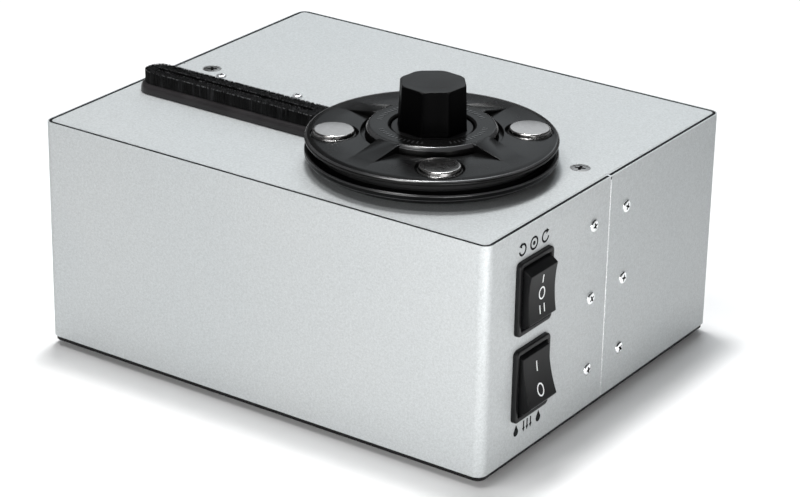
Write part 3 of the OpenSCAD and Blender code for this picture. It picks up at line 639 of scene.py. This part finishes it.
pan = phillips(2.8, 1.1)
for sgn, nm in ((1, "right"), (-1, "left")):
    heads = []
    k = 0
    for z in (Z0 + 17.5, Z0 + 50, Z0 + 82.5):
        for y in (-13, 13):
            heads.append(mx(sgn * HW, y, z, (sgn, 0, 0), (11, 52, 33, 76, 20, 64)[k]))
            k += 1
    put(place_heads(pan, heads, nm + "_side_heads"), "root", "screw_steel", nm + "_side_screws")
TOP_XY = ((HW - 15, 0, 18), (-(HW - 16.5), 2, 40))
flat = phillips(3.95, 1.0, False, 56, M["topscrew"])
put(place_heads(flat, [mx(x, y, ZT - 1.06, (0, 0, 1), a) for x, y, a in TOP_XY], "top_heads"), "root", "screw_steel", "top_screws")
for x, y, a in TOP_XY:
    ob = lathe("countersink", [(3.0, ZT - 1.9), (4.12, ZT - 1.9), (4.12, ZT + 0.0), (4.2, ZT + 0.012), (4.26, ZT - 0.02), (4.3, ZT - 1.9)], x, y, M["core"], 72, closed=True)
    put(ob, "root", "core_black")
small = phillips(2.3, 1.25, True, 44, M["capscrew"])
put(place_heads(small, [mx(-86, -4, ZT, (0, 0, 1), 25), mx(-44, -4, ZT, (0, 0, 1), 70)], "hanger_heads"), "root", "screw_steel", "hanger_screws")
blk = phillips(2.6, 0.8, True, 36, M["blackscrew"])
dxy = [(14 * math.cos(math.radians(a)), 14 * math.sin(math.radians(a))) for a in (45, 135, 225, 315)] + [(x, y) for x in (-37, 31) for y in (-14, 14)]
put(place_heads(blk, [mx(SX + x, SY + y, ZT, (0, 0, 1), 17 * i) for i, (x, y) in enumerate(dxy)], "drive_heads"), "root", "black_screw", "drive_screws")
for o in (pan, flat, small, blk):
    bpy.data.objects.remove(o, do_unlink=True)

# ---------------------------------------------------------------- suction bar
BX0, BX1 = SX - 151.5, SX - DISC_R - 1.2
BMID, BL = (BX0 + BX1) / 2, BX1 - BX0
ACX = BX0 + 8.5


def bar_out(o, z, n_arc=36, n_side=70, n_in=16, slot=None):
    r = 8.5 - o
    R = DISC_R + 1.2 + o
    xin = lambda y: SX - math.sqrt(R * R - y * y)
    pts = [(ACX + r * math.cos(math.radians(90 + 180 * k / n_arc)), r * math.sin(math.radians(90 + 180 * k / n_arc))) for k in range(n_arc + 1)]
    pts += [(ACX + (xin(r) - ACX) * k / n_side, -r) for k in range(1, n_side + 1)]
    pts += [(xin(-r + 2 * r * k / n_in), -r + 2 * r * k / n_in) for k in range(1, n_in + 1)]
    pts += [(ACX + (xin(r) - ACX) * k / n_side, r) for k in range(n_side - 1, 0, -1)]
    if slot:
        L = slot[0] / 2 - slot[1] / 2
        out_ = []
        for x, y in pts:
            cx = min(max(x, BMID - L), BMID + L)
            d = Vector((x - cx, y))
            d = d.normalized() * slot[1] / 2
            out_.append((cx + d.x, d.y))
        pts = out_
    return [V(x, SY + y, z) for x, y in pts]


rings = [bar_out(0, ZT + 0.0, slot=(BL - 18, 2.2))]
for o, z in ((0.62, 0.0), (0.25, 0.12), (0.06, 0.5), (0.0, 1.1), (0.02, 1.8), (0.12, 2.5), (0.34, 3.15), (0.68, 3.7), (1.1, 4.08), (1.55, 4.3), (2.0, 4.4), (3.4, 4.42)):
    rings.append(bar_out(o, ZT + z))
rings.append(bar_out(0, ZT + 4.42, slot=(BL - 18, 2.2)))
rings.append(rings[0])
bm = bmesh.new()
loops(bm, rings)
put(finish_mesh("suction_bar_foot", bm, M["bar"], 60.0), "root", "bar_black", "suction_bar")

# bristles: a dense pile round the slot, thousands of short fibres on a dark inner body
SLOT = (BL - 14, 2.3)
rings = [bar_out(2.3, ZT + 4.3)]
for o, z in ((2.42, 5.2), (2.42, 8.9), (2.7, 9.35), (3.4, 9.5)):
    rings.append(bar_out(o, ZT + z))
rings.append(bar_out(0, ZT + 9.5, slot=(SLOT[0], SLOT[1] + 0.9)))
rings.append(bar_out(0, ZT + 9.0, slot=(SLOT[0], SLOT[1] + 0.35)))
rings.append(bar_out(0, ZT + 4.3, slot=(SLOT[0], SLOT[1] + 0.3)))
rings.append(rings[0])
bm = bmesh.new()
loops(bm, rings)
body = finish_mesh("bristle_body", bm, M["bristle"], 50.0)


def in_bar(x, y, o):
    r = 8.5 - o
    if x < ACX:
        if math.hypot(x - ACX, y) > r:
            return False
    elif abs(y) > r:
        return False
    return math.hypot(x - SX, y) > DISC_R + 1.2 + o


def out_slot(x, y, g=0.0):
    L = SLOT[0] / 2 - SLOT[1] / 2
    cx = min(max(x, BMID - L), BMID + L)
    return math.hypot(x - cx, y) > SLOT[1] / 2 + g


def fibres(name, spots, mat, half=0.15, sides=4):
    bm = bmesh.new()
    for x, y, z0, z1, dx, dy, a, h in spots:
        b_, t_ = [], []
        for i in range(sides):
            an = a + 2 * math.pi * i / sides
            b_.append(bm.verts.new(V(x + h * math.cos(an), SY + y + h * math.sin(an), z0)))
            t_.append(bm.verts.new(V(x + dx + h * 0.7 * math.cos(an), SY + y + dy + h * 0.7 * math.sin(an), z1)))
        for i in range(sides):
            j = (i + 1) % sides
            bm.faces.new((b_[i], b_[j], t_[j], t_[i]))
        bm.faces.new(t_)
    me = bpy.data.meshes.new(name)
    bm.to_mesh(me)
    bm.free()
    ob = bpy.data.objects.new(name, me)
    bpy.context.scene.collection.objects.link(ob)
    me.materials.append(mat)
    return ob


rnd = random.Random(7)
spots = []
step = 0.42
nx, ny = int(BL / step) + 2, int(14 / step) + 2
for i in range(nx):
    for j in range(ny):
        x = BX0 + 1.5 + (i + rnd.uniform(-0.45, 0.45)) * step
        y = -6.6 + (j + rnd.uniform(-0.45, 0.45)) * step
        if not in_bar(x, y, 2.2) or not out_slot(x, y, 0.12):
            continue
        tuft = 0.22 * math.sin(x * 1.9 + 3 * math.sin(y)) + 0.15 * math.sin(y * 3.1 + x * 0.7)
        z1 = ZT + 9.72 + rnd.uniform(-0.32, 0.28) + 0.25 * tuft
        spots.append((x, y, ZT + 8.6, z1, rnd.uniform(-0.22, 0.22), rnd.uniform(-0.22, 0.22), rnd.uniform(0, 3), rnd.uniform(0.10, 0.17)))
pile = fibres("bristle_pile", spots, M["bristle"])
edge, tips = [], []


def along(o, spacing):
    """places along the outline at inset o, with the outward direction"""
    ring = [((p.x / MM - OX), (p.y / MM - OY) - SY) for p in bar_out(o, 0)]
    n = len(ring)
    for i in range(n):
        p, q = Vector(ring[i]), Vector(ring[(i + 1) % n])
        d = q - p
        m_ = max(1, int(round(d.length / spacing)))
        t = d.normalized()
        for k in range(m_):
            c = p + d * (k + rnd.uniform(0.1, 0.9)) / m_
            yield c.x, c.y, t.y, -t.x


for o, lo in ((2.08, 4.25), (2.25, 4.4)):
    for x, y, nx_, ny_ in along(o, 0.24):
        lean = rnd.uniform(-0.02, 0.16)
        side = rnd.uniform(-0.25, 0.25)
        z1 = ZT + 9.75 + rnd.uniform(-0.4, 0.3)
        edge.append((x, y, ZT + lo, z1, nx_ * lean - ny_ * side, ny_ * lean + nx_ * side, rnd.uniform(0, 3), rnd.uniform(0.10, 0.17)))
# light grey tips along the outline and the slot edges: painted highlight on the pile's top edges
for x, y, nx_, ny_ in along(2.16, 0.33):
    if math.sin(x * 0.8) + math.sin(x * 2.3 + 1) + rnd.uniform(-1.2, 1.2) > -0.35:
        tips.append((x, y, ZT + 9.5, ZT + 9.93 + rnd.uniform(-0.12, 0.1), nx_ * 0.05, ny_ * 0.05, rnd.uniform(0, 3), rnd.uniform(0.09, 0.15)))
L_ = SLOT[0] / 2
x = BMID - L_
while x < BMID + L_:
    for s in (-1, 1):
        if rnd.random() < 0.45:
            tips.append((x, s * (SLOT[1] / 2 + 0.22), ZT + 9.4, ZT + 9.8 + rnd.uniform(-0.15, 0.1), 0, 0, rnd.uniform(0, 3), 0.11))
        edge.append((x, s * (SLOT[1] / 2 + rnd.uniform(0.08, 0.3)), ZT + 5, ZT + 9.7 + rnd.uniform(-0.3, 0.2), rnd.uniform(-0.2, 0.2), -s * rnd.uniform(0, 0.2), rnd.uniform(0, 3), 0.14))
    x += 0.26
edge_ob = fibres("bristle_edge", edge, M["bristle"])
tips_ob = fibres("bristle_tips", tips, M["bristle_tip"])
put(body, "root", "bristle", "bristle_ring")
for o in (pile, edge_ob, tips_ob):
    put(o, "root", "bristle")

# ---------------------------------------------------------------- platter, clamp, weights, knob
def disc_lathe(name, prof, mat, segs=224, angle=30.0):
    return lathe(name, prof, SX, SY, mat, segs, angle)


def rp(pts, rad, seg=4):
    """rounds every corner of a closed profile"""
    n = len(pts)
    out_ = []
    for i in range(n):
        rr = rad[i] if isinstance(rad, (list, tuple)) else rad
        a, c, b_ = Vector(pts[i - 1]), Vector(pts[i]), Vector(pts[(i + 1) % n])
        da, db = a - c, b_ - c
        if rr <= 0 or da.length < 1e-6 or db.length < 1e-6:
            out_.append((c.x, c.y))
            continue
        d = min(rr, da.length * 0.48, db.length * 0.48)
        p0, p1 = c + da.normalized() * d, c + db.normalized() * d
        for k in range(seg + 1):
            t = k / seg
            q = p0 * (1 - t) ** 2 + c * 2 * t * (1 - t) + p1 * t ** 2
            out_.append((q.x, q.y))
    return out_


def second_mat(ob, mat, test):
    """a second material on the faces for which test(r, z, nz) holds, in mm about the spindle"""
    ob.data.materials.append(mat)
    k_ = len(ob.data.materials) - 1
    ax = V(SX, SY, 0)
    for f_ in ob.data.polygons:
        c_ = f_.center
        if test(math.hypot(c_.x - ax.x, c_.y - ax.y) / MM, (c_.z - ax.z) / MM, f_.normal.z):
            f_.material_index = k_
    return ob


pl = [(3.59, 1.5), (40, 1.5), (47.2, 1.5), (49.6, 2.9), (DISC_R - 1.0, 4.2), (DISC_R, 4.9), (DISC_R, 6.7), (DISC_R - 0.7, 7.4), (49.2, 7.6), (48.2, 7.1), (3.59, 7.1)]
plr = [0, 1, 1, 0.5, 0.35, 0.35, 0.3, 0.35, 0.3, 0.15, 0]
plat = disc_lathe("platter_smooth", [(r, ZT + z) for r, z in rp(pl, plr)], M["platter"])
# the two rounded rim edges of the platter take the edge material: painted highlight lines
second_mat(plat, M["edge"], lambda r, z, nz: r > DISC_R - 0.75 and (ZT + 4.7 < z < ZT + 5.15 and nz < -0.1 or ZT + 6.5 < z < ZT + 7.2 and 0.15 < nz < 0.9))
put(plat, "turntable", "clamp_black", "platter")

cl = [(6.5, 0), (DISC_R - 0.45, 0), (DISC_R, 0.45), (DISC_R, 1.3), (DISC_R - 0.75, 2.02), (DISC_R - 3, 2.5), (40, 3.1), (29.45, 3.3), (29.2, 3.05), (29.2, 1.2), (27.4, 1.2), (27.2, 5.1), (26.0, 6.4),
      (18.2, 6.4), (17.5, 5.7), (17.5, 3.0), (6.5, 3.0)]
clr = [0, 0.2, 0.2, 0.3, 0.45, 0.6, 2, 0.2, 0.15, 0.2, 0.2, 0.5, 0.5, 0.3, 0.2, 0.1, 0]
disc = disc_lathe("clamp_disc_smooth", [(r, ZC + z) for r, z in rp(cl, clr, 5)], M["clamp"])


def polar(r, y, z, ang):
    a = math.radians(ang + TURN)
    return V(SX + r * math.cos(a) - y * math.sin(a), SY + r * math.sin(a) + y * math.cos(a), z)


for ang in (45, 135, 225, 315):
    rings = []
    prof = [(24.8, 0.9), (43.6, 1.8), (44.0, 2.55), (27.6, 6.1), (24.8, 6.26)]
    for yy, ins in ((-5.4, 0.28), (-5.34, 0.1), (-5.15, 0.0), (5.15, 0.0), (5.34, 0.1), (5.4, 0.28)):
        rings.append([polar(r - (ins if r > 30 else 0), yy, ZC + z - (ins if z > 2 else 0), ang) for r, z in prof])
    rib = loft("rib", rings, M["clamp"], True, True)
    boolean(disc, rib, "UNION")
for ang in (0, 90, 180, 270):
    c = polar(40.2, 0, 0, ang)
    cx, cy = c.x / MM - OX, c.y / MM - OY
    bm = bmesh.new()
    rings = [[V(cx + r * math.cos(2 * math.pi * i / 96), cy + r * math.sin(2 * math.pi * i / 96), ZC + z) for i in range(96)] for r, z in ((9.9, 1.62), (9.9, 2.35), (10.0, 2.75), (10.35, 3.3), (10.6, 4.5))]
    loops(bm, rings, True, True, True)
    boolean(disc, finish_mesh("cut", bm, M["clamp"]))
reshade(disc, 28.0)
# the rounded outer rim and the hub ring's outer edge take the edge material: painted highlight lines
second_mat(disc, M["edge"], lambda r, z, nz: r > DISC_R - 1.6 and z > ZC + 1.5 and 0.45 < nz < 0.975 or 25.7 < r < 27.3 and z > ZC + 4.9 and 0.2 < nz < 0.96)
put(disc, "clamp", "clamp_black", "clamp_disc")

wts = []
for ang in (0, 90, 180, 270):
    c = polar(40.2, 0, 0, ang)
    cx, cy = c.x / MM - OX, c.y / MM - OY
    prof = rp([(0.02, 0.0), (9.3, 0.0), (9.3, 0.75), (8.95, 1.1), (8.6, 1.25), (8.6, 2.5), (8.1, 2.9), (0.02, 2.92)], [0, 0.1, 0.2, 0.15, 0.15, 0.3, 0.35, 0])
    wts.append(lathe("w", [(r, ZC + 1.6 + z) for r, z in prof], cx, cy, M["weight"], 112, 30.0))
wt = reshade(join(wts, "round_weights"), 30.0)
# sides and lower step take the darker copy, painted shade; the top face stays light
wt.data.materials.append(M["weightside"])
for f_ in wt.data.polygons:
    c_ = f_.center
    if abs(f_.normal.z) < 0.5 or c_.z < (ZC + 1.6 + 2.4) * MM:
        f_.material_index = 1
put(wt, "clamp", "polished_weight", "clamp_weights")

# raised marks on the hub ring: a plain scale of strokes in four sectors
tk = []
for sec in (45, 135, 225, 315):
    for k in range(-6, 7):
        an = math.radians(sec + TURN + k * 5.0)
        ca, sa = math.cos(an), math.sin(an)
        r0, r1 = 21.0, 23.0
        f = lambda a, b, h, ca=ca, sa=sa: V(SX + a * ca - b * sa, SY + a * sa + b * ca, ZC + 6.4 + h)
        tk.append(strip([(r0, 0), (r1, 0)], 0.5, f, th=0.12))
# the strokes take the edge material, so they show as painted light specks
put(with_mat(join(tk, "hub_scale"), M["edge"]), "clamp", "clamp_black")

# knob: eight hollowed faces, blunt corners, a flat top with rolled edges
GH, GW = 19.5, 28.3
ZK = ZC + 5.3


def knob_r(th, h, ins):
    d = (math.degrees(th) - TURN + 22.5) % 45 - 22.5
    D = GW / 2 + 35.4 - math.tan(math.radians(2.05)) * (h + 0.1)
    dd = math.radians(d)
    rs = D * math.cos(dd) - math.sqrt(max(0, 36.0 ** 2 - (D * math.sin(dd)) ** 2))
    rs += 0.3
    rc = GW / 2 + 1.05 - 0.7 * (h + 1) / (GH + 1)
    k = 1.7
    hh = max(0.0, min(1.0, 0.5 + 0.5 * (rc - rs) / k))
    r = rc * (1 - hh) + rs * hh - k * hh * (1 - hh)
    return r - ins


rings = []
NK = 8 * 30
lv = [(-0.05, -0.25), (0.12, -0.08), (0.3, 0.0)] + [(0.3 + (GH - 1.6) * k / 8, 0.0) for k in range(1, 9)]
lv += [(GH - 1.3 + 1.14 * k / 9, 0.0) for k in range(1, 10)] + [(GH - 0.07, 0.06), (GH - 0.02, 0.18), (GH, 0.36)]


def knob_top(th, h, ins):
    """the corners of the eight faces are cut by a cone, so the top edge dips at each corner"""
    a, b_ = knob_r(th, h, 0.0), 13.62 + 0.92 * (GH - h)
    q = max(0.0, min(1.0, 0.5 + 0.5 * (b_ - a) / 0.16))
    return b_ * (1 - q) + a * q - 0.16 * q * (1 - q) - ins


for h, ins in lv:
    rr_ = [knob_top(2 * math.pi * i / NK, h, ins) for i in range(NK)]
    rings.append([V(SX + rr_[i] * math.cos(2 * math.pi * i / NK), SY + rr_[i] * math.sin(2 * math.pi * i / NK), ZK + h) for i in range(NK)])


def flat_ring(r, z):
    return [V(SX + r * math.cos(2 * math.pi * i / NK), SY + r * math.sin(2 * math.pi * i / NK), z) for i in range(NK)]


rings += [flat_ring(12.2, ZK + GH + 0.005), flat_ring(9.4, ZK + GH + 0.01), flat_ring(8.6, ZK + GH - 0.01), flat_ring(7.4, ZK + GH - 0.07), flat_ring(5.0, ZK + GH - 0.13), flat_ring(0.02, ZK + GH - 0.16)]
bm = bmesh.new()
loops(bm, rings, True, False, True)
# upward faces take the lighter knob_top copy, the sides the near-black knob plastic: painted light on top, painted
# shade on the sides
grip = second_mat(finish_mesh("knob_grip", bm, M["knob"], 40.0), M["knobtop"], lambda r, z, nz: nz > 0.3)
fl = disc_lathe("knob_flange", rp([(5.55, ZC + 3.05), (16.9, ZC + 3.05), (16.9, ZC + 5.3), (12.0, ZC + 5.3), (5.55, ZC + 5.3)], [0, 0.15, 0.4, 0, 0]), M["knobfoot"], 160)
put(grip, "knob", "knob_black", "clamp_knob")
put(fl, "knob", "knob_black")

# ---------------------------------------------------------------- switches
def sx_place(z):
    return lambda a, b, h: V(HW + h, SWY + a, z + b)


def switch_housing(nm, z):
    f = sx_place(z)
    rings = []

    def ring(w, d, r, h):
        rings.append([f(a, b, h) for a, b in rrect_pts(w, d, r, 10)])
    ring(22, 30, 0.6, -18)
    ring(22, 30, 0.6, 0.0)
    ring(25.5, 32, 2.3, 0.0)
    ring(25.5, 32, 2.3, 1.25)
    for k in range(1, 5):
        a = math.radians(22.5 * k)
        ring(25.5 - 2 * 0.62 * (1 - math.cos(a)), 32 - 2 * 0.62 * (1 - math.cos(a)), 2.3 - 0.4 * (1 - math.cos(a)), 1.38 + 0.62 * math.sin(a))
    ring(21.5, 28.2, 0.75, 2.0)
    ring(21.2, 27.9, 0.65, 1.93)
    ring(20.75, 27.4, 0.5, 1.45)
    ring(20.6, 27.2, 0.45, 1.2)
    ring(20.6, 27.2, 0.4, -2.0)
    ring(20.6, 28.2, 0.3, -2.2)
    ring(20.6, 28.2, 0.3, -16.4)
    bm = bmesh.new()
    loops(bm, rings, True, True, True)
    ob = finish_mesh(nm, bm, M["housing"], 40.0)
    return ob


put(switch_housing("motor_switch_frame", SWZ[0]), "root", "switch_body", "motor_switch_housing")
put(switch_housing("vacuum_switch_frame", SWZ[1]), "root", "switch_body", "vacuum_switch_housing")
PIV, RR = HW - 3.5, 13.9


def face_x(z):
    return 65.5 - math.sqrt(57.5 ** 2 - z * z)


def rocker(nm, z, tilt, marks, body, node):
    t = math.radians(tilt)
    ct, st = math.cos(t), math.sin(t)

    def place(x, y, zz):
        return V(PIV + x * ct + zz * st, SWY + y, z - x * st + zz * ct)
    zc_ = 10.6
    pts = [(2.7, -math.sqrt(RR ** 2 - 2.7 ** 2))]
    a0, a1 = math.atan2(pts[0][1], 2.7), math.atan2(-zc_, 8.986)
    for k in range(1, 6):
        a = a0 + (a1 - a0) * k / 6.4
        pts.append((RR * math.cos(a), RR * math.sin(a)))
    ci = len(pts)
    pts.append((8.986, -zc_))
    for k in range(21):
        zz = -9.5 + 19 * k / 20
        pts.append((face_x(zz), zz))
    cj = len(pts)
    pts.append((8.986, zc_))
    for k in range(5, 0, -1):
        a = a0 + (a1 - a0) * k / 6.4
        pts.append((RR * math.cos(a), -RR * math.sin(a)))
    pts.append((2.7, math.sqrt(RR ** 2 - 2.7 ** 2)))
    rad = [0.0] * len(pts)
    rad[ci] = rad[cj] = 0.42
    o = rp(pts, rad, 5)
    rings = []
    for y, ins in ((-10.0, 0.42), (-9.965, 0.24), (-9.86, 0.1), (-9.7, 0.02), (-9.5, 0.0), (-5, 0), (0, 0), (5, 0), (9.5, 0.0), (9.7, 0.02), (9.86, 0.1), (9.965, 0.24), (10.0, 0.42)):
        rings.append([place(5.5 + (x - 5.5) * (1 - ins / 4.2), y, zz * (1 - ins / 12.0)) for x, zz in o])
    bm = bmesh.new()
    loops(bm, rings, True, True, True)
    ob = finish_mesh(nm, bm, M["rocker"], 42.0)
    web = [[place(x, y, zz) for x, zz in ((-3, -4), (3, -4), (3, 4), (-3, 4))] for y in (-9.9, 9.9)]
    wb = loft("web", web, M["rocker"])
    pn = [[place(1.4 * math.cos(2 * math.pi * i / 32), y, 1.4 * math.sin(2 * math.pi * i / 32)) for i in range(32)] for y in (-10.7, 10.7)]
    pin = loft("pin", pn, M["rocker"])
    whole = reshade(join([ob, wb, pin], nm), 42.0)
    put(whole, body, "switch_rocker", node)
    f = lambda a, b, h: place(face_x(b) + h, a, b)
    ms = []
    for kind, a, b, size in marks:
        if kind == "bar":
            ms.append(strip([(a, b - size / 2 + size * k / 8) for k in range(9)], 0.62, f, th=0.035))
        else:
            ms.append(strip(arc(a, b, size * 0.82, 0, 360, 40, size)[:-1], 0.62, f, True, th=0.035))
    mk_ = with_mat(join(ms, nm + "_marks"), M["white"])
    put(mk_, body, "switch_rocker")


rocker("motor_rocker_cap", SWZ[0], 0.0, [("bar", 0, 6.6, 3.5), ("ring", 0, 0.3, 2.45), ("bar", -1.6, -6.4, 3.6), ("bar", 1.6, -6.4, 3.6)], "motor_rocker", "motor_switch_rocker")
rocker("vacuum_rocker_cap", SWZ[1], -12.0, [("bar", 0, 4.6, 4.4), ("ring", 0, -5.6, 2.5)], "vacuum_rocker", "vacuum_switch_rocker")

# printed signs by the switches: turning arrows over the upper one, drops and an air arrow under the lower one
wall = lambda z0_: (lambda a, b, h: V(HW + h, SWY + a, z0_ + b))
f = wall(SWZ[0] + 16 + 4.6)
sg = []
for s in (-1, 1):
    sg.append(strip([(s * x, y) for x, y in arc(8.4, 0, 2.3, 60, 350, 26)], 0.95, f, th=0.03, deep=0.02))
    ex, ey = 8.4 + 2.3 * math.cos(math.radians(60)), 2.3 * math.sin(math.radians(60))
    tri = [(ex + 1.5, ey - 0.1), (ex - 0.5, ey + 1.25), (ex - 0.6, ey - 1.3)]
    tri = [(s * x, y) for x, y in tri]
    sg.append(patch(tri, f, 0.03, 0.02))
sg.append(strip(arc(0, 0, 2.5, 0, 360, 40)[:-1], 0.95, f, True, th=0.03, deep=0.02))
sg.append(patch(arc(0, 0, 0.95, 0, 360, 20)[:-1], f, 0.03, 0.02))
put(with_mat(join(sg, "turning_sign"), M["print"]), "root", "base_black")
f = wall(SWZ[1] - 16 - 4.8)
sg = []
for s in (-1, 0, 1):
    if s:
        drop = [(s * 8.4 + 1.75 * math.cos(math.radians(a)), -0.7 + 1.75 * math.sin(math.radians(a))) for a in range(-205, 26, 15)] + [(s * 8.4, 2.75)]
        sg.append(patch(drop, f, 0.03, 0.02))
    else:
        for x in (-2.6, 0, 2.6):
            sg.append(strip([(x, 2.4), (x, -0.9)], 0.9, f, th=0.03, deep=0.02))
            sg.append(patch([(x - 1.05, -0.7), (x, -2.6), (x + 1.05, -0.7)], f, 0.03, 0.02))
put(with_mat(join(sg, "air_sign"), M["print"]), "root", "base_black")

# ---------------------------------------------------------------- rear pieces and feet, with eased edges
put(cad_copy("mains_inlet", "inlet_eased", M["inlet"], 0.35, 3), "root", "inlet_black", "mains_inlet")
put(cad_copy("exhaust_grille", "grille_eased", M["inlet"], 0.3, 2), "root", "inlet_black", "exhaust_grille")
put(cad_copy("fuse_drawer", "fuse_drawer_eased", M["inlet"], 0.25, 2), "fuse_carrier", "inlet_black", "fuse_drawer")
put(cad_copy("drain_tap", "tap_eased", M["inlet"], 0.3, 2), "root", "inlet_black", "drain_tap")
put(cad_copy("drain_lever", "lever_eased", M["red"], 0.4, 3), "drain_valve", "lever_red", "drain_lever")
put(cad_copy("feet", "feet_eased", M["rubber"], 0.4, 2), "root", "rubber", "feet")

# ---------------------------------------------------------------- floor, world, lights
bm = bmesh.new()
S_ = 20.0
vs = [bm.verts.new((x, y, 0)) for x, y in ((-S_, -S_), (S_, -S_), (S_, S_), (-S_, S_))]
bm.faces.new(vs)
me = bpy.data.meshes.new("floor")
bm.to_mesh(me); bm.free()
floor = bpy.data.objects.new("floor", me)
bpy.context.scene.collection.objects.link(floor)
fm, nt, b = new_mat("floor_white")
b.inputs["Base Color"].default_value = (0.93, 0.93, 0.93, 1)
b.inputs["Roughness"].default_value = 0.9
b.inputs["Specular IOR Level"].default_value = 0.0
geo = nt.nodes.new("ShaderNodeTexCoord")
ln = nt.nodes.new("ShaderNodeVectorMath"); ln.operation = "LENGTH"
nt.links.new(geo.outputs["Object"], ln.inputs[0])
far = remap(nt, ln.outputs["Value"], 0.0, 1.0, 1.05, 2.0)
b.inputs["Emission Color"].default_value = (1, 1, 1, 1)
nt.links.new(far, b.inputs["Emission Strength"])
me.materials.append(fm)

world = bpy.data.worlds.new("studio")
bpy.context.scene.world = world
world.use_nodes = True
wn = world.node_tree
bg = wn.nodes["Background"]
tc = wn.nodes.new("ShaderNodeTexCoord")
sep = wn.nodes.new("ShaderNodeSeparateXYZ")
wn.links.new(tc.outputs["Generated"], sep.inputs[0])
cr = wn.nodes.new("ShaderNodeValToRGB")
for k, (pos, v) in enumerate(((0.0, 0.02), (0.18, 0.06), (0.38, 0.13), (0.62, 0.08), (1.0, 0.03))):
    e_ = cr.color_ramp.elements[k] if k < 2 else cr.color_ramp.elements.new(pos)
    e_.position = pos
    e_.color = (v * 0.97, v * 0.99, v, 1)
wn.links.new(sep.outputs["Z"], cr.inputs["Fac"])
wn.links.new(cr.outputs["Color"], bg.inputs["Color"])
bg.inputs["Strength"].default_value = 1.0


def area(name, loc, target, size, power, col=(1, 1, 1), sy=None, spread=180.0):
    d = bpy.data.lights.new(name, "AREA")
    d.shape = "RECTANGLE" if sy else "SQUARE"
    d.size = size
    if sy:
        d.size_y = sy
    d.energy = power
    d.color = col
    d.spread = math.radians(spread)
    o = bpy.data.objects.new(name, d)
    bpy.context.scene.collection.objects.link(o)
    o.location = Vector(loc)
    o.visible_camera = False
    dirv = (Vector(target) - Vector(loc)).normalized()
    o.rotation_euler = dirv.to_track_quat("-Z", "Y").to_euler()
    return o


area("key_top", (-0.15, 0.10, 1.38), (0, 0, 0.05), 0.22, 12.6)
area("key_front", (-0.15, -0.50, 1.40), (0, 0, 0.05), 0.4, 5.6)
area("top_back", (-0.10, 0.50, 1.30), (0, 0, 0.05), 0.5, 4.4, (0.93, 0.97, 1.0))
area("low_back", (-0.50, 1.10, 0.90), (0, 0, 0.05), 0.8, 1.9, (0.90, 0.96, 1.0))
area("front_fill", (0.15, -1.30, 0.35), (0, 0, 0.05), 0.8, 7.35)
area("corner_fill", (0.40, -0.31, 0.11), (0.108, -0.11, 0.50), 0.22, 1.55)
